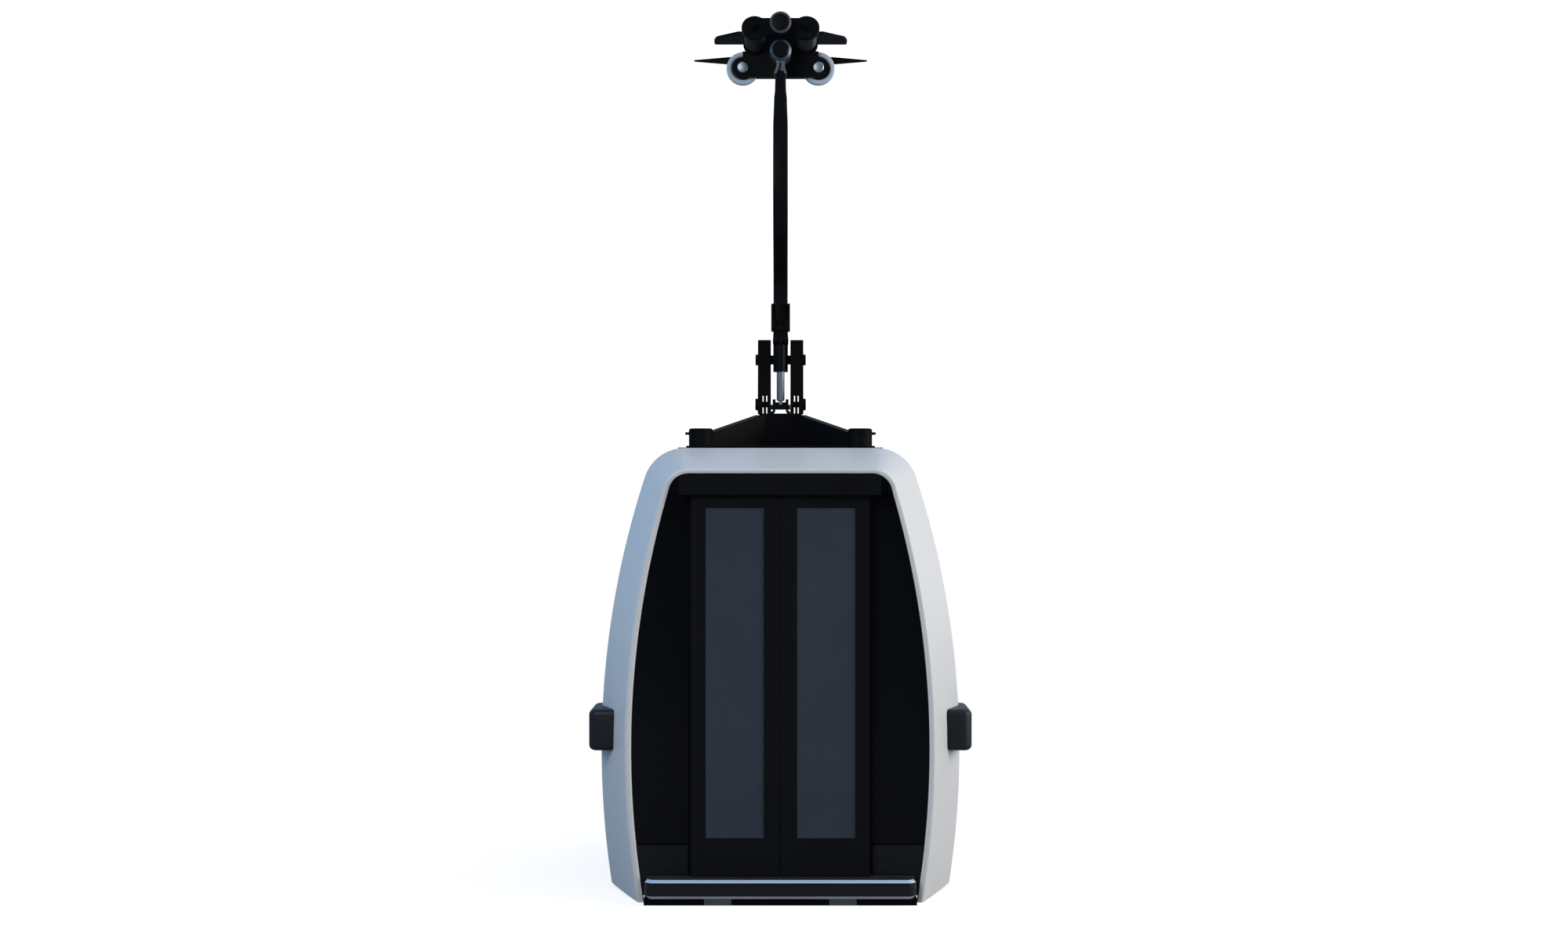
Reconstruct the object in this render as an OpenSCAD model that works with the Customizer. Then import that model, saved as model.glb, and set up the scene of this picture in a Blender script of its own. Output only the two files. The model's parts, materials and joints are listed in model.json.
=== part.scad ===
// Aerial ropeway cabin with its hanger arm and detachable two-roller grip.
// Millimetres. +X runs along the rope, -Y faces the doors, +Z is up.
// The origin is the middle of the rope where the grip closes on it.

/* [Overall] */
// Height of the rope centre above the underside of the cabin base
rope_height = 4220; // [4100:5:4400]
// Diameter of the haul rope in the grip
rope_d = 40; // [36:0.5:50]

/* [Cabin shell] */
// Greatest half length of the shell along the rope
shell_half = 898; // [850:1:950]
// Height of the roof above the base
shell_top = 2200; // [2100:5:2300]
// Height at which the shell is longest
widest_z = 690; // [500:10:900]
// Radius of the bowed ends
bow_r = 4400; // [3500:50:6000]
// Radius of the upper corners
corner_r = 210; // [150:5:260]
// Thickness of the shell panels
wall = 22; // [12:1:40]
// Half width of the straight middle of the shell across the rope
mid_half = 440; // [350:10:600]
// Distance of the portal ridge from the centre across the rope
ridge_y = 850; // [800:5:950]
// Half length of the opening in each portal
open_half = 722; // [650:1:760]
// Height of the top of the opening
open_top = 2072; // [1950:1:2120]
// Radius of the upper corners of the opening
open_r = 95; // [60:5:150]
// Height where the end windows meet the white end panels
belt_z = 985; // [800:5:1200]
// Height where the end windows meet the roof
eave_z = 2010; // [1900:5:2080]

/* [Doors] */
// Length of one door leaf along the rope
leaf_w = 426; // [380:1:460]
// Underside of the door leaves
leaf_bottom = 132; // [110:1:160]
// Top of the door leaves
leaf_top = 1975; // [1850:5:2000]
// Thickness of a door leaf
leaf_t = 34; // [25:1:50]
// Distance each leaf slides to open
door_travel = 395; // [300:5:400]
// Width of the outer stile of a leaf
outer_stile = 66; // [40:1:90]
// Width of the stile where the leaves meet
meeting_stile = 73; // [50:1:90]
// Underside of the door glass
glass_bottom = 313; // [250:1:500]
// Top of the door glass
glass_top = 1910; // [1700:5:1930]

/* [Floor and step] */
// Height of the cabin floor
floor_z = 130; // [90:1:180]
// Half length of the step rail
rail_half = 652; // [550:1:680]
// Reach of the step rail from the cabin centre
rail_y = 950; // [920:1:1000]
// Thickness of the base frame and of the skids in it
base_t = 32; // [28:1:38]

/* [Roof suspension] */
// Height of the sway pin above the base
pin_z = 2664; // [2600:1:2720]
// Height of the lower bolts of the posts
post_bolt_z = 2431; // [2400:1:2480]
// Half distance between the roof buffers along the rope
buffer_x = 403; // [350:1:440]
// Half distance between the roof buffers across the rope
buffer_y = 350; // [250:1:400]
// Radius of the roof buffers
buffer_r = 61; // [45:1:75]

/* [Hanger] */
// Width of the hanger arm seen from the doors
arm_w = 74; // [60:1:100]
// How far the arm bows toward the doors
arm_bow = 450; // [300:10:550]
// Radius of the grip pivot hub
hub_r = 55; // [45:1:70]

/* [Grip] */
// Half distance between the two running wheels
wheel_x = 195; // [160:1:230]
// Height of the wheel axles above the rope centre
wheel_z = -59; // [-80:1:-40]
// Radius of the running wheels
wheel_r = 84; // [70:1:110]
// Half distance between the two grip springs
spring_x = 132; // [110:1:150]
// Outer radius of the grip springs
spring_r = 53; // [40:1:56]
// Slope of the draw rods down toward the far side of the rope
draw_angle = 20; // [0:1:30]
// Half length of the friction plate
friction_half = 350; // [300:5:420]
// Half length over the rope guide tips
guide_half = 450; // [350:5:500]

/* [Hidden] */
$fn = 72;

rope_r = rope_d / 2;
side_steps = 14;
corner_steps = 8;
taper_steps = 6;

black = [0.06, 0.065, 0.075];
graphite = [0.16, 0.17, 0.19];
white = [0.86, 0.88, 0.9];
glass = [0.2, 0.24, 0.28];
dark_glass = [0.08, 0.09, 0.11];
bright = [0.72, 0.76, 0.8];
zinc = [0.6, 0.64, 0.68];
rubber = [0.09, 0.09, 0.1];

// Portal shape: share of the way from the shell outline to the opening outline.
ridge_f = 0.85;
strip_f = 0.985;
open_widest = 740;
base_rise = 20;
lip_depth = 32;

// Door and surround depths.
leaf_back = -855;
leaf_front = leaf_back - leaf_t;
surround_front = -846;
surround_back = -812;
jamb_out = 447;
jamb_in = 425;
frame_gap = 0.5;
floor_t = 6;
side_glass_z = 282;
lintel_z = 1977;
leaf_gap = 4;

// Grip depths.
front_plate_y = [-165, -145];
rear_plate_y = [-72, -56];
wheel_y = [-141, -99];
axle_r = 14;
axle_cap_r = 28;
lobe_r = 51.5;
shaft_r = 25;
bush_r = 30;
hub_y = [-335, -190];
plate_y = -300;
plate_z = 115;
plate_t = 18;
lobe_out_r = 66;
seat_u = 149;
seat_t = 16;
seat_lobe_r = 60;
rod_r = 10;
rod_end_u = 200;
rod_run = 0.08;
roller_z = 128;
roller_y = [-396, -330];
roller_r = 55;
friction_z = [127, 139];
yoke_x = [120, 144];

// Hanger heights below the rope.
head_low = -118;
socket_top = -1266;
socket_low = -1406;
pivot_z = pin_z - rope_height;
pin_r = 24;
pin_head_r = 28.5;
pin_out = 131;
post_x = [51, 118];

// Damper between the hanger foot and the roof frame.
damper_top = [-85, pivot_z + 100];
damper_low = [-75, post_bolt_z - rope_height];
damper_len = norm(damper_low - damper_top);
damper_tilt = atan((damper_low[0] - damper_top[0]) / (damper_top[1] - damper_low[1]));
barrel_r = 27.5;
barrel_len = 165;
damper_rod_r = 20.5;
damper_pin_r = 10;

// ---------- shared helpers ----------

function mix(a, b, f) = a + (b - a) * f;

function bezier(p, t) =
  p[0] * pow(1 - t, 3) + p[1] * 3 * t * pow(1 - t, 2)
  + p[2] * 3 * t * t * (1 - t) + p[3] * pow(t, 3);

function slope(p, t) =
  (p[1] - p[0]) * 3 * pow(1 - t, 2) + (p[2] - p[1]) * 6 * t * (1 - t)
  + (p[3] - p[2]) * 3 * t * t;

function flip(points) = [for (i = [len(points) - 1:-1:0]) [-points[i][0], points[i][1]]];

// Right half of the bowed outline, from the base up to the roof.
function half_outline(half, top, r, widest, bow, base) =
  let (
    roof_a = asin((top - r - widest) / (bow - r)),
    base_a = asin((base - widest) / bow),
    corner_x = half - bow + (bow - r) * cos(roof_a)
  )
  concat(
    [for (i = [0:side_steps])
      let (a = mix(base_a, roof_a, i / side_steps))
      [half - bow + bow * cos(a), widest + bow * sin(a)]],
    [for (i = [1:corner_steps])
      let (a = mix(roof_a, 90, i / corner_steps))
      [corner_x + r * cos(a), top - r + r * sin(a)]]
  );

// Whole outline at share f of the way to the opening, moved in by inset.
function outline(f, inset, base) =
  let (
    right = half_outline(
      mix(shell_half, open_half, f) - inset,
      mix(shell_top, open_top, f) - inset,
      mix(corner_r, open_r, f) - inset,
      mix(widest_z, open_widest, f),
      bow_r - inset,
      base
    )
  )
  concat(right, flip(right));

module box(x, y, z) {
  translate([x[0], y[0], z[0]])
    cube([x[1] - x[0], y[1] - y[0], z[1] - z[0]]);
}

module along_x(x, y, z, r) {
  translate([x[0], y, z])
    rotate([0, 90, 0])
      cylinder(h = x[1] - x[0], r = r);
}

module along_y(y, x, z, r) {
  translate([x, y[0], z])
    rotate([-90, 0, 0])
      cylinder(h = y[1] - y[0], r = r);
}

module along_z(z, x, y, r) {
  translate([x, y, z[0]])
    cylinder(h = z[1] - z[0], r = r);
}

// Upright sheet facing the doors; the flat shape is drawn in X and Z.
module sheet_xz(y) {
  translate([0, y[1], 0])
    rotate([90, 0, 0])
      linear_extrude(height = y[1] - y[0])
        children();
}

// Upright sheet facing along the rope; the flat shape is drawn in Y and Z.
module sheet_yz(x) {
  translate([x[0], 0, 0])
    rotate([90, 0, 90])
      linear_extrude(height = x[1] - x[0])
        children();
}

module sheet_xy(z) {
  translate([0, 0, z[0]])
    linear_extrude(height = z[1] - z[0])
      children();
}

module rect(x, y) {
  translate([x[0], y[0]])
    square([x[1] - x[0], y[1] - y[0]]);
}

module round_rect(x, y, r) {
  rect([x[0] + r, x[1] - r], y);
  rect(x, [y[0] + r, y[1] - r]);
  for (px = [x[0] + r, x[1] - r], py = [y[0] + r, y[1] - r]) {
    translate([px, py])
      circle(r = r);
  }
}

module dot(x, y, r) {
  translate([x, y])
    circle(r = r);
}

module both_ends() {
  children();
  mirror([1, 0, 0])
    children();
}

module both_faces() {
  children();
  mirror([0, 1, 0])
    children();
}

module in_cabin() {
  translate([0, 0, -rope_height])
    children();
}

// Local frame of the draw rods: local Y runs down the rods.
module on_draw_line() {
  translate([0, plate_y, plate_z])
    rotate([-draw_angle, 0, 0])
      children();
}

module in_damper() {
  translate([0, damper_top[0], damper_top[1]])
    rotate([damper_tilt, 0, 0])
      children();
}

// ---------- grip ----------

module axle_holes() {
  both_ends()
    along_y([-200, 0], wheel_x, wheel_z, axle_r + 0.05);
}

module rod_holes(r) {
  on_draw_line()
    both_ends()
      along_y([-60, rod_end_u + 20], spring_x, 0, r);
}

module spring_dogbone(lobe, low, high) {
  dot(-spring_x, 0, lobe);
  dot(spring_x, 0, lobe);
  rect([-spring_x, spring_x], [low, high]);
}

module carrier_frame() {
  color(black)
    difference() {
      union() {
        sheet_xz(front_plate_y) {
          rect([-wheel_x, wheel_x], [wheel_z - lobe_r, 24]);
          rect([-150, 150], [0, 49]);
          dot(-wheel_x, wheel_z, lobe_r);
          dot(wheel_x, wheel_z, lobe_r);
        }
        sheet_xz(rear_plate_y) {
          rect([-wheel_x, wheel_x], [-100, -24]);
          dot(-wheel_x, wheel_z, 42);
          dot(wheel_x, wheel_z, 42);
        }
        box([-105, 105], [-150, -60], [-88, -40]);
        along_y([-185, -150], 0, 0, hub_r);
        box([-76, 76], [-118, -66], [70, friction_z[0]]);
        both_ends()
          sheet_yz([46, 58])
            polygon([[-80, 100], [-66, 96], [160, 119], [160, 127], [-80, 127]]);
        on_draw_line()
          sheet_xz([seat_u, seat_u + seat_t])
            spring_dogbone(seat_lobe_r, -30, 44);
      }
      axle_holes();
      along_y([-190, -100], 0, 0, shaft_r + 0.05);
      rod_holes(rod_r + rod_run);
      box([-100, 100], [-145, -2], [-40, 70]);
    }
}

module fixed_jaw() {
  color(graphite)
    difference() {
      box([-100, 100], [-145, -2], [-40, 70]);
      along_x([-120, 120], 0, 0, rope_r + 0.1);
      along_y([-150, -110], 0, 0, shaft_r + 0.05);
      both_ends()
        box([84, 101], [-60, -1], [30, 71]);
    }
}

module rope_guides() {
  color(black)
    both_ends() {
      sheet_xz([-36, -24])
        polygon([
          [100, -24], [280, -18], [guide_half - 3, -4], [guide_half, -1],
          [guide_half - 1, 3], [280, 18], [150, 24], [100, 24]
        ]);
      box([100, 112], [-60, -24], [-24, 24]);
    }
}

module friction_plate() {
  color(graphite)
    sheet_xy(friction_z)
      both_ends() {
        polygon([
          [0, -102], [friction_half - 129, -102], [friction_half - 18, 20],
          [friction_half - 7, 61], [friction_half, 103], [friction_half, 180],
          [friction_half - 10, 190], [0, 190]
        ]);
      }
}

module wheel_axles() {
  color(bright)
    both_ends() {
      along_y([-179, -165], wheel_x, wheel_z, axle_cap_r);
      along_y([-166, -56], wheel_x, wheel_z, axle_r);
      along_y([-145, -142], wheel_x, wheel_z, 20);
      along_y([-98, -72], wheel_x, wheel_z, 20);
      along_y([-56, -44], wheel_x, wheel_z, 21);
    }
}

module pivot_shaft() {
  color(black) {
    along_y([-345, -110], 0, 0, shaft_r);
    along_y([-352, -340], 0, 0, 42);
  }
}

// One grip spring, drawn as a ribbed sleeve of stacked turns.
module grip_spring(side) {
  turns = 8;
  length = seat_u - plate_t / 2 - 0.2;
  pitch = length / turns;
  on_draw_line()
    translate([side * spring_x, plate_t / 2, 0])
      rotate([-90, 0, 0])
        rotate_extrude()
          {
            rect([36, spring_r - 6], [0, length]);
            for (i = [0:turns - 1]) {
              rect([40, spring_r], [pitch * i + 2, pitch * (i + 1) - 4]);
            }
          }
}

module spring_left() {
  color(graphite)
    grip_spring(-1);
}

module spring_right() {
  color(graphite)
    grip_spring(1);
}

module spring_plate() {
  color(black)
    on_draw_line()
      difference() {
        sheet_xz([-plate_t / 2, plate_t / 2])
          spring_dogbone(lobe_out_r, -40, 55);
        both_ends()
          along_y([-20, 20], spring_x, 0, rod_r);
      }
}

module draw_rods() {
  color(zinc)
    on_draw_line()
      both_ends()
        along_y([-40, rod_end_u], spring_x, 0, rod_r);
}

module hex(r) {
  polygon([for (i = [0:5]) r * [cos(60 * i), sin(60 * i)]]);
}

module rod_nuts() {
  color(zinc)
    on_draw_line()
      both_ends()
        difference() {
          union() {
            along_y([-13, -plate_t / 2], spring_x, 0, 22);
            sheet_xz([-32, -13])
              translate([spring_x, 0])
                hex(18.5);
          }
          along_y([-50, 0], spring_x, 0, rod_r);
        }
}

module moving_jaw() {
  color(graphite)
    difference() {
      union() {
        box([-150, 150], [2, 50], [-40, 75]);
        both_ends()
          sheet_yz(yoke_x)
            polygon([
              [-125, 30], [-92, 30], [-72, 50], [8, 50], [24, 38], [24, -38],
              [50, -38], [50, 98], [30, 117], [-62, 117], [-125, 84]
            ]);
      }
      along_x([-160, 160], 0, 0, rope_r + 0.1);
      on_draw_line()
        both_ends()
          along_y([150, rod_end_u], spring_x, 0, rod_r);
    }
}

module release_shaft() {
  color(zinc)
    difference() {
      union() {
        along_y([roller_y[0] + 10, -290], 0, roller_z, 14);
        along_y([-328, -290], 0, roller_z, 24);
      }
      on_draw_line()
        box([-60, 60], [-plate_t / 2, 80], [-60, 60]);
    }
}

module release_roller() {
  color(black)
    translate([0, roller_y[0], roller_z])
      rotate([-90, 0, 0])
        rotate_extrude()
          polygon([
            [0, 0], [roller_r - 11, 0], [roller_r, 9],
            [roller_r, roller_y[1] - roller_y[0] - 5],
            [roller_r - 5, roller_y[1] - roller_y[0]],
            [14.07, roller_y[1] - roller_y[0]], [14.07, 8], [0, 8]
          ]);
}

module wheel_hub(side) {
  width = wheel_y[1] - wheel_y[0];
  translate([side * wheel_x, wheel_y[0], wheel_z])
    rotate([-90, 0, 0])
      rotate_extrude()
        polygon([
          [axle_r + 0.07, 0], [26, 0], [30, 8], [48, 12], [52, 4], [60, 4],
          [60, width - 4], [52, width - 4], [48, width - 12], [30, width - 8],
          [26, width], [axle_r + 0.07, width]
        ]);
}

module wheel_tyre(side) {
  width = wheel_y[1] - wheel_y[0];
  translate([side * wheel_x, wheel_y[0], wheel_z])
    rotate([-90, 0, 0])
      rotate_extrude()
        polygon([
          [60, 4], [64, 0], [wheel_r - 5, 0], [wheel_r, 5],
          [wheel_r, width - 5], [wheel_r - 5, width], [64, width], [60, width - 4]
        ]);
}

module left_wheel_hub() {
  color(zinc)
    wheel_hub(-1);
}

module left_wheel_tyre() {
  color(bright)
    wheel_tyre(-1);
}

module right_wheel_hub() {
  color(zinc)
    wheel_hub(1);
}

module right_wheel_tyre() {
  color(bright)
    wheel_tyre(1);
}

// ---------- hanger ----------

module hanger_head() {
  color(zinc)
    difference() {
      union() {
        along_y([hub_y[0] + 11, hub_y[1]], 0, 0, hub_r);
        translate([0, hub_y[0], 0])
          rotate([-90, 0, 0])
            cylinder(h = 11, r1 = hub_r - 11, r2 = hub_r);
        sheet_xz([-320, -205])
          polygon([
            [-28, -40], [28, -40], [20, -66], [24, -92], [33, head_low],
            [-33, head_low], [-24, -92], [-20, -66]
          ]);
      }
      along_y([-400, -100], 0, 0, bush_r);
      sheet_xz([-321, -298])
        polygon([[-4, -62], [4, -62], [9, -90], [21, head_low - 1], [-21, head_low - 1], [-9, -90]]);
    }
}

module hanger_bush() {
  color([0.7, 0.55, 0.3])
    difference() {
      along_y(hub_y, 0, 0, bush_r);
      along_y([-400, -100], 0, 0, shaft_r + 0.05);
    }
}

arm_steps = 14;
arm_upper = [[-262, head_low], [-296, -250], [-arm_bow, -420], [-arm_bow, -700]];
arm_lower = [[-arm_bow, -700], [-arm_bow, -985], [0, -1000], [0, -1250]];

arm_deep = [115, 128, 90];
arm_wall = 9;
arm_end = -1380;
pin_zs = [-1290, -1352];

// Points along one side of the arm; side is -1 or 1, depth runs from a to b.
function arm_edge(path, side, a, b, first) =
  [for (i = [first:arm_steps])
    let (
      t = i / arm_steps,
      p = bezier(path, t),
      d = slope(path, t) / norm(slope(path, t)),
      w = mix(a, b, t) / 2
    )
    p + side * w * [-d[1], d[0]]];

function backwards(points) = [for (i = [len(points) - 1:-1:0]) points[i]];

// Side view of the arm, thinner by inset on both sides, from point number first.
module arm_side(inset, first) {
  d = [for (a = arm_deep) a - 2 * inset];
  near = concat(arm_edge(arm_upper, -1, d[0], d[1], first), arm_edge(arm_lower, -1, d[1], d[2], 1));
  far = concat(arm_edge(arm_upper, 1, d[0], d[1], first), arm_edge(arm_lower, 1, d[1], d[2], 1));
  polygon(concat(near, backwards(far)));
}

module hanger_arm() {
  inner = arm_w / 2 - arm_wall;
  color(black)
    difference() {
      intersection() {
        union() {
          sheet_yz([-arm_w / 2, arm_w / 2])
            arm_side(0, 0);
          box([-arm_w / 2, arm_w / 2], [-45, 45], [arm_end, -1249]);
        }
        sheet_xz([-700, 200])
          both_ends()
            polygon([
              [0, head_low], [26, head_low], [28, -220], [33, -285],
              [arm_w / 2, -435], [arm_w / 2, -1400], [0, -1400]
            ]);
      }
      sheet_yz([-inner, inner])
        intersection() {
          arm_side(arm_wall, 0);
          rect([-700, 200], [-1250, -440]);
        }
      box([-inner, inner], [arm_wall - 45, 45 - arm_wall], [arm_end - 1, -1249]);
      for (z = pin_zs) {
        along_x([-60, 60], 0, z, 12);
      }
    }
}

module hanger_socket() {
  color(black)
    difference() {
      union() {
        both_ends() {
          box([arm_w / 2, 49], [-62, 62], [-1400, socket_top]);
          both_faces()
            sheet_xz([45, 72])
              polygon([[26, -1390], [36, -1400], [49, -1400], [49, -1335], [40, -1335], [26, -1352]]);
        }
        box([-49, 49], [-62, 62], [socket_low, arm_end]);
      }
      for (z = pin_zs) {
        along_x([-60, 60], 0, z, 12);
      }
    }
}

module socket_pins() {
  color(zinc)
    for (z = pin_zs) {
      along_x([-49, 49], 0, z, 12);
    }
}

module hanger_foot() {
  color(black)
    difference() {
      union() {
        sheet_xz([-42, 42])
          polygon([
            [-37, socket_low], [37, socket_low], [41, -1462], [38, -1480],
            [38, pivot_z], [-38, pivot_z], [-38, -1480], [-41, -1462]
          ]);
        along_x([-38, 38], 0, pivot_z, 42);
        box([-38, 38], [-26, 42], [pivot_z - 62, pivot_z]);
        both_ends()
          sheet_yz([15, 38]) {
            dot(damper_top[0], damper_top[1], 22);
            rect([damper_top[0], -40], [damper_top[1] - 22, damper_top[1] + 22]);
          }
        along_x([-38, 38], damper_top[0], damper_top[1], damper_pin_r);
      }
      along_x([-60, 60], 0, pivot_z, pin_r + 0.07);
    }
}

module damper_barrel() {
  color(graphite)
    in_damper()
      difference() {
        union() {
          along_x([-13, 13], 0, 0, 20);
          along_z([-40, -8], 0, 0, 13);
          along_z([-barrel_len, -26], 0, 0, barrel_r);
        }
        along_x([-20, 20], 0, 0, damper_pin_r + 0.07);
        along_z([-barrel_len - 1, -70], 0, 0, damper_rod_r + 0.08);
      }
}

module damper_rod() {
  color(bright)
    in_damper()
      difference() {
        union() {
          along_z([16 - damper_len, -112], 0, 0, damper_rod_r);
          along_x([-9, 9], 0, -damper_len, 20);
        }
        along_x([-20, 20], 0, -damper_len, damper_pin_r + 2);
      }
}

// ---------- roof suspension ----------

module pivot_pin() {
  color(zinc) {
    along_x([-pin_out, pin_out], 0, pivot_z, pin_r);
    both_ends()
      along_x([post_x[1], pin_out], 0, pivot_z, pin_head_r);
  }
}

module suspension_posts() {
  color(black)
    in_cabin()
      both_ends()
        difference() {
          sheet_yz(post_x) {
            polygon([
              [-104, frame_top], [104, frame_top], [104, 2468], [66, 2560], [56, 2640],
              [54, 2720], [40, 2758], [24, 2767], [-24, 2767], [-40, 2758],
              [-54, 2720], [-56, 2640], [-66, 2560], [-104, 2468]
            ]);
          }
          box([69, 95], [-120, 120], [2370, 2480]);
          along_x([0, 200], 0, pin_z, pin_r);
          for (y = [-75, 75]) {
            along_x([0, 200], y, post_bolt_z, 13);
          }
          box([57, 107], [-38, 38], [2500, 2606]);
        }
}

module post_bolts() {
  color(zinc)
    in_cabin()
      both_ends()
        for (y = [-75, 75]) {
          along_x([post_x[0], pin_out], y, post_bolt_z, 13);
          along_x([post_x[1], pin_out], y, post_bolt_z, pin_head_r);
        }
}

module damper_yoke() {
  y = damper_low[0];
  color(black)
    in_cabin() {
      both_ends() {
        sheet_yz([26, 41])
          dot(y, post_bolt_z, 26);
        box([26, 50], [y - 30, y + 30], [2403, post_bolt_z - 4]);
        sheet_xz([y - 30, y + 30])
          polygon([
            [27, 2404], [40, 2404], [40, 2396], [50, 2393], [50, frame_top],
            [36, frame_top], [27, 2393]
          ]);
      }
      both_ends() {
        box([-1, 27], [y - 30, y - 24], [2403, post_bolt_z - 4]);
        box([-1, 27], [y + 24, y + 30], [2403, post_bolt_z - 4]);
      }
      along_x([-41, 41], y, post_bolt_z, damper_pin_r);
    }
}

buffer_reach = norm([buffer_x, buffer_y]);
buffer_angle = atan(buffer_y / buffer_x);
frame_top = 2382;
flange_r = 75;

module buffers_at() {
  for (x = [-buffer_x, buffer_x], y = [-buffer_y, buffer_y]) {
    translate([x, y, 0])
      children();
  }
}

module frame_arm() {
  difference() {
    sheet_xz([-32, 32])
      polygon([
        [0, 2210], [0, 2374], [146, 2374], [500, 2275], [buffer_reach - 10, 2275],
        [buffer_reach - 10, 2210]
      ]);
    sheet_xz([-25, 25])
      polygon([
        [60, 2200], [60, 2364], [144, 2364], [440, 2281], [440, 2200]
      ]);
  }
}

module roof_frame() {
  color(black)
    in_cabin()
      difference() {
        union() {
          difference() {
            box([-110, 110], [-112, 112], [2210, frame_top]);
            box([-98, 98], [-100, 100], [2200, 2366]);
          }
          difference() {
            for (a = [buffer_angle, 180 - buffer_angle, 180 + buffer_angle, -buffer_angle]) {
              rotate([0, 0, a])
                frame_arm();
            }
            box([-98, 98], [-100, 100], [2200, 2366]);
          }
          both_ends()
            sheet_yz([76, 88]) {
              rect([-99, 99], [2380, post_bolt_z + 46]);
            }
        }
        for (y = [-75, 75]) {
          along_x([-200, 200], y, post_bolt_z, 13);
        }
        buffers_at()
          {
            along_z([2190, 2400], 0, 0, buffer_r);
            along_z([2190, 2213], 0, 0, flange_r + 1);
          }
      }
}

module buffer_caps() {
  color(black)
    in_cabin() {
      buffers_at()
        translate([0, 0, 2264])
          rotate_extrude()
            intersection() {
              union() {
                rect([0, buffer_r], [0, 24]);
                rect([0, buffer_r - 12], [0, 36]);
                dot(buffer_r - 12, 24, 12);
              }
              rect([0, 100], [0, 40]);
            }
      both_ends()
        for (y = [-buffer_y, buffer_y]) {
          along_x([buffer_x + 40, buffer_x + buffer_r + 18], y, 2274, 6.5);
        }
    }
}

module buffer_rubbers() {
  color(rubber)
    in_cabin()
      buffers_at()
        along_z([2212, 2264], 0, 0, buffer_r - 0.5);
}

module roof_plate() {
  color(black)
    in_cabin() {
      box([-516, 516], [-425, 425], [shell_top, 2203]);
      buffers_at()
        along_z([2202, 2212], 0, 0, flange_r);
    }
}

module roof_vents() {
  color(black)
    in_cabin()
      difference() {
        sheet_yz([-110, 110])
          polygon([[270, 2203], [392, 2203], [392, 2222], [366, 2238], [282, 2238], [270, 2226]]);
        for (i = [-4:4]) {
          box([22 * i - 6, 22 * i + 6], [372, 400], [2210, 2245]);
        }
      }
}

// ---------- cabin shell ----------

module shell_band(inset_a, inset_b, z) {
  intersection() {
    difference() {
      polygon(outline(0, inset_a, 0));
      polygon(outline(0, inset_b, -1));
    }
    rect([-1200, 1200], z);
  }
}

module roof_shell() {
  color(white)
    in_cabin()
      sheet_xz([-mid_half, mid_half])
        shell_band(0, wall, [eave_z, shell_top + 10]);
}

module end_panels() {
  color(white)
    in_cabin()
      sheet_xz([-mid_half, mid_half])
        shell_band(0, wall, [base_rise, belt_z]);
}

module windscreens() {
  color(glass)
    in_cabin()
      sheet_xz([-mid_half, mid_half])
        shell_band(3, 11, [belt_z, eave_z]);
}

taper_f = [0, 0.16, 0.5, ridge_f];
taper_y = [mid_half, 520, 700, ridge_y];

// Outer and inner runs of the portal section: share, inset, depth, base height.
outer_run = concat(
  [for (i = [0:taper_steps])
    let (t = i / taper_steps)
    [bezier(taper_f, t), 0, bezier(taper_y, t), base_rise * (1 - t)]],
  [[strip_f, 0, ridge_y - 1, 0], [1, 0, ridge_y - 6, 0]]
);
inner_run = concat(
  [for (i = [0:taper_steps])
    let (t = i / taper_steps)
    [bezier(taper_f, t), wall * (1 - t / 2), bezier(taper_y, t) - lip_depth * t * t, base_rise * (1 - t)]],
  [[0.92, 8, ridge_y - lip_depth, 0], [1, 0, ridge_y - lip_depth, 0]]
);

module portal_ring() {
  loop = concat(outer_run, backwards(inner_run));
  count = len(loop);
  half = len(outer_run);
  rows = [for (s = loop) [for (p = outline(s[0], s[1], s[3])) [p[0], -s[2], p[1]]]];
  across = len(rows[0]);
  points = [for (row = rows) for (p = row) p];
  skin = [for (s = [0:count - 1], p = [0:across - 2])
    let (n = (s + 1) % count)
    for (f = [
      [s * across + p, s * across + p + 1, n * across + p + 1],
      [s * across + p, n * across + p + 1, n * across + p]
    ]) f];
  caps = [for (i = [0:half - 2])
    let (j = count - 1 - i)
    for (f = [
      [i * across, (i + 1) * across, (j - 1) * across],
      [i * across, (j - 1) * across, j * across],
      [(i + 1) * across - 1, (j - 1) * across + across - 1, (i + 2) * across - 1],
      [(i + 1) * across - 1, (j + 1) * across - 1, j * across - 1]
    ]) f];
  polyhedron(points = points, faces = concat(skin, caps));
}

module front_portal() {
  color(white)
    in_cabin()
      portal_ring();
}

module rear_portal() {
  color(white)
    in_cabin()
      mirror([0, 1, 0])
        portal_ring();
}

// How far the bowed side has come in at height z, at share f of the taper.
function bow_in(z, f) =
  bow_r - sqrt(pow(bow_r, 2) - pow(z - mix(widest_z, open_widest, f), 2));

module bumper_plan() {
  round_rect([700, 945], [-660, -300], 46);
}

// One level of a bumper, cut to the tapered corner of the shell.
module bumper_level(z) {
  edge = [for (s = outer_run)
    if (s[1] == 0 && s[2] < 760)
      [mix(shell_half, open_half, s[0]) - bow_in(z[0], s[0]) + 0.3, -s[2]]];
  sheet_xy(z)
    intersection() {
      bumper_plan();
      polygon(concat(edge, [[1000, edge[len(edge) - 1][1]], [1000, -mid_half]]));
    }
}

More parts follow.
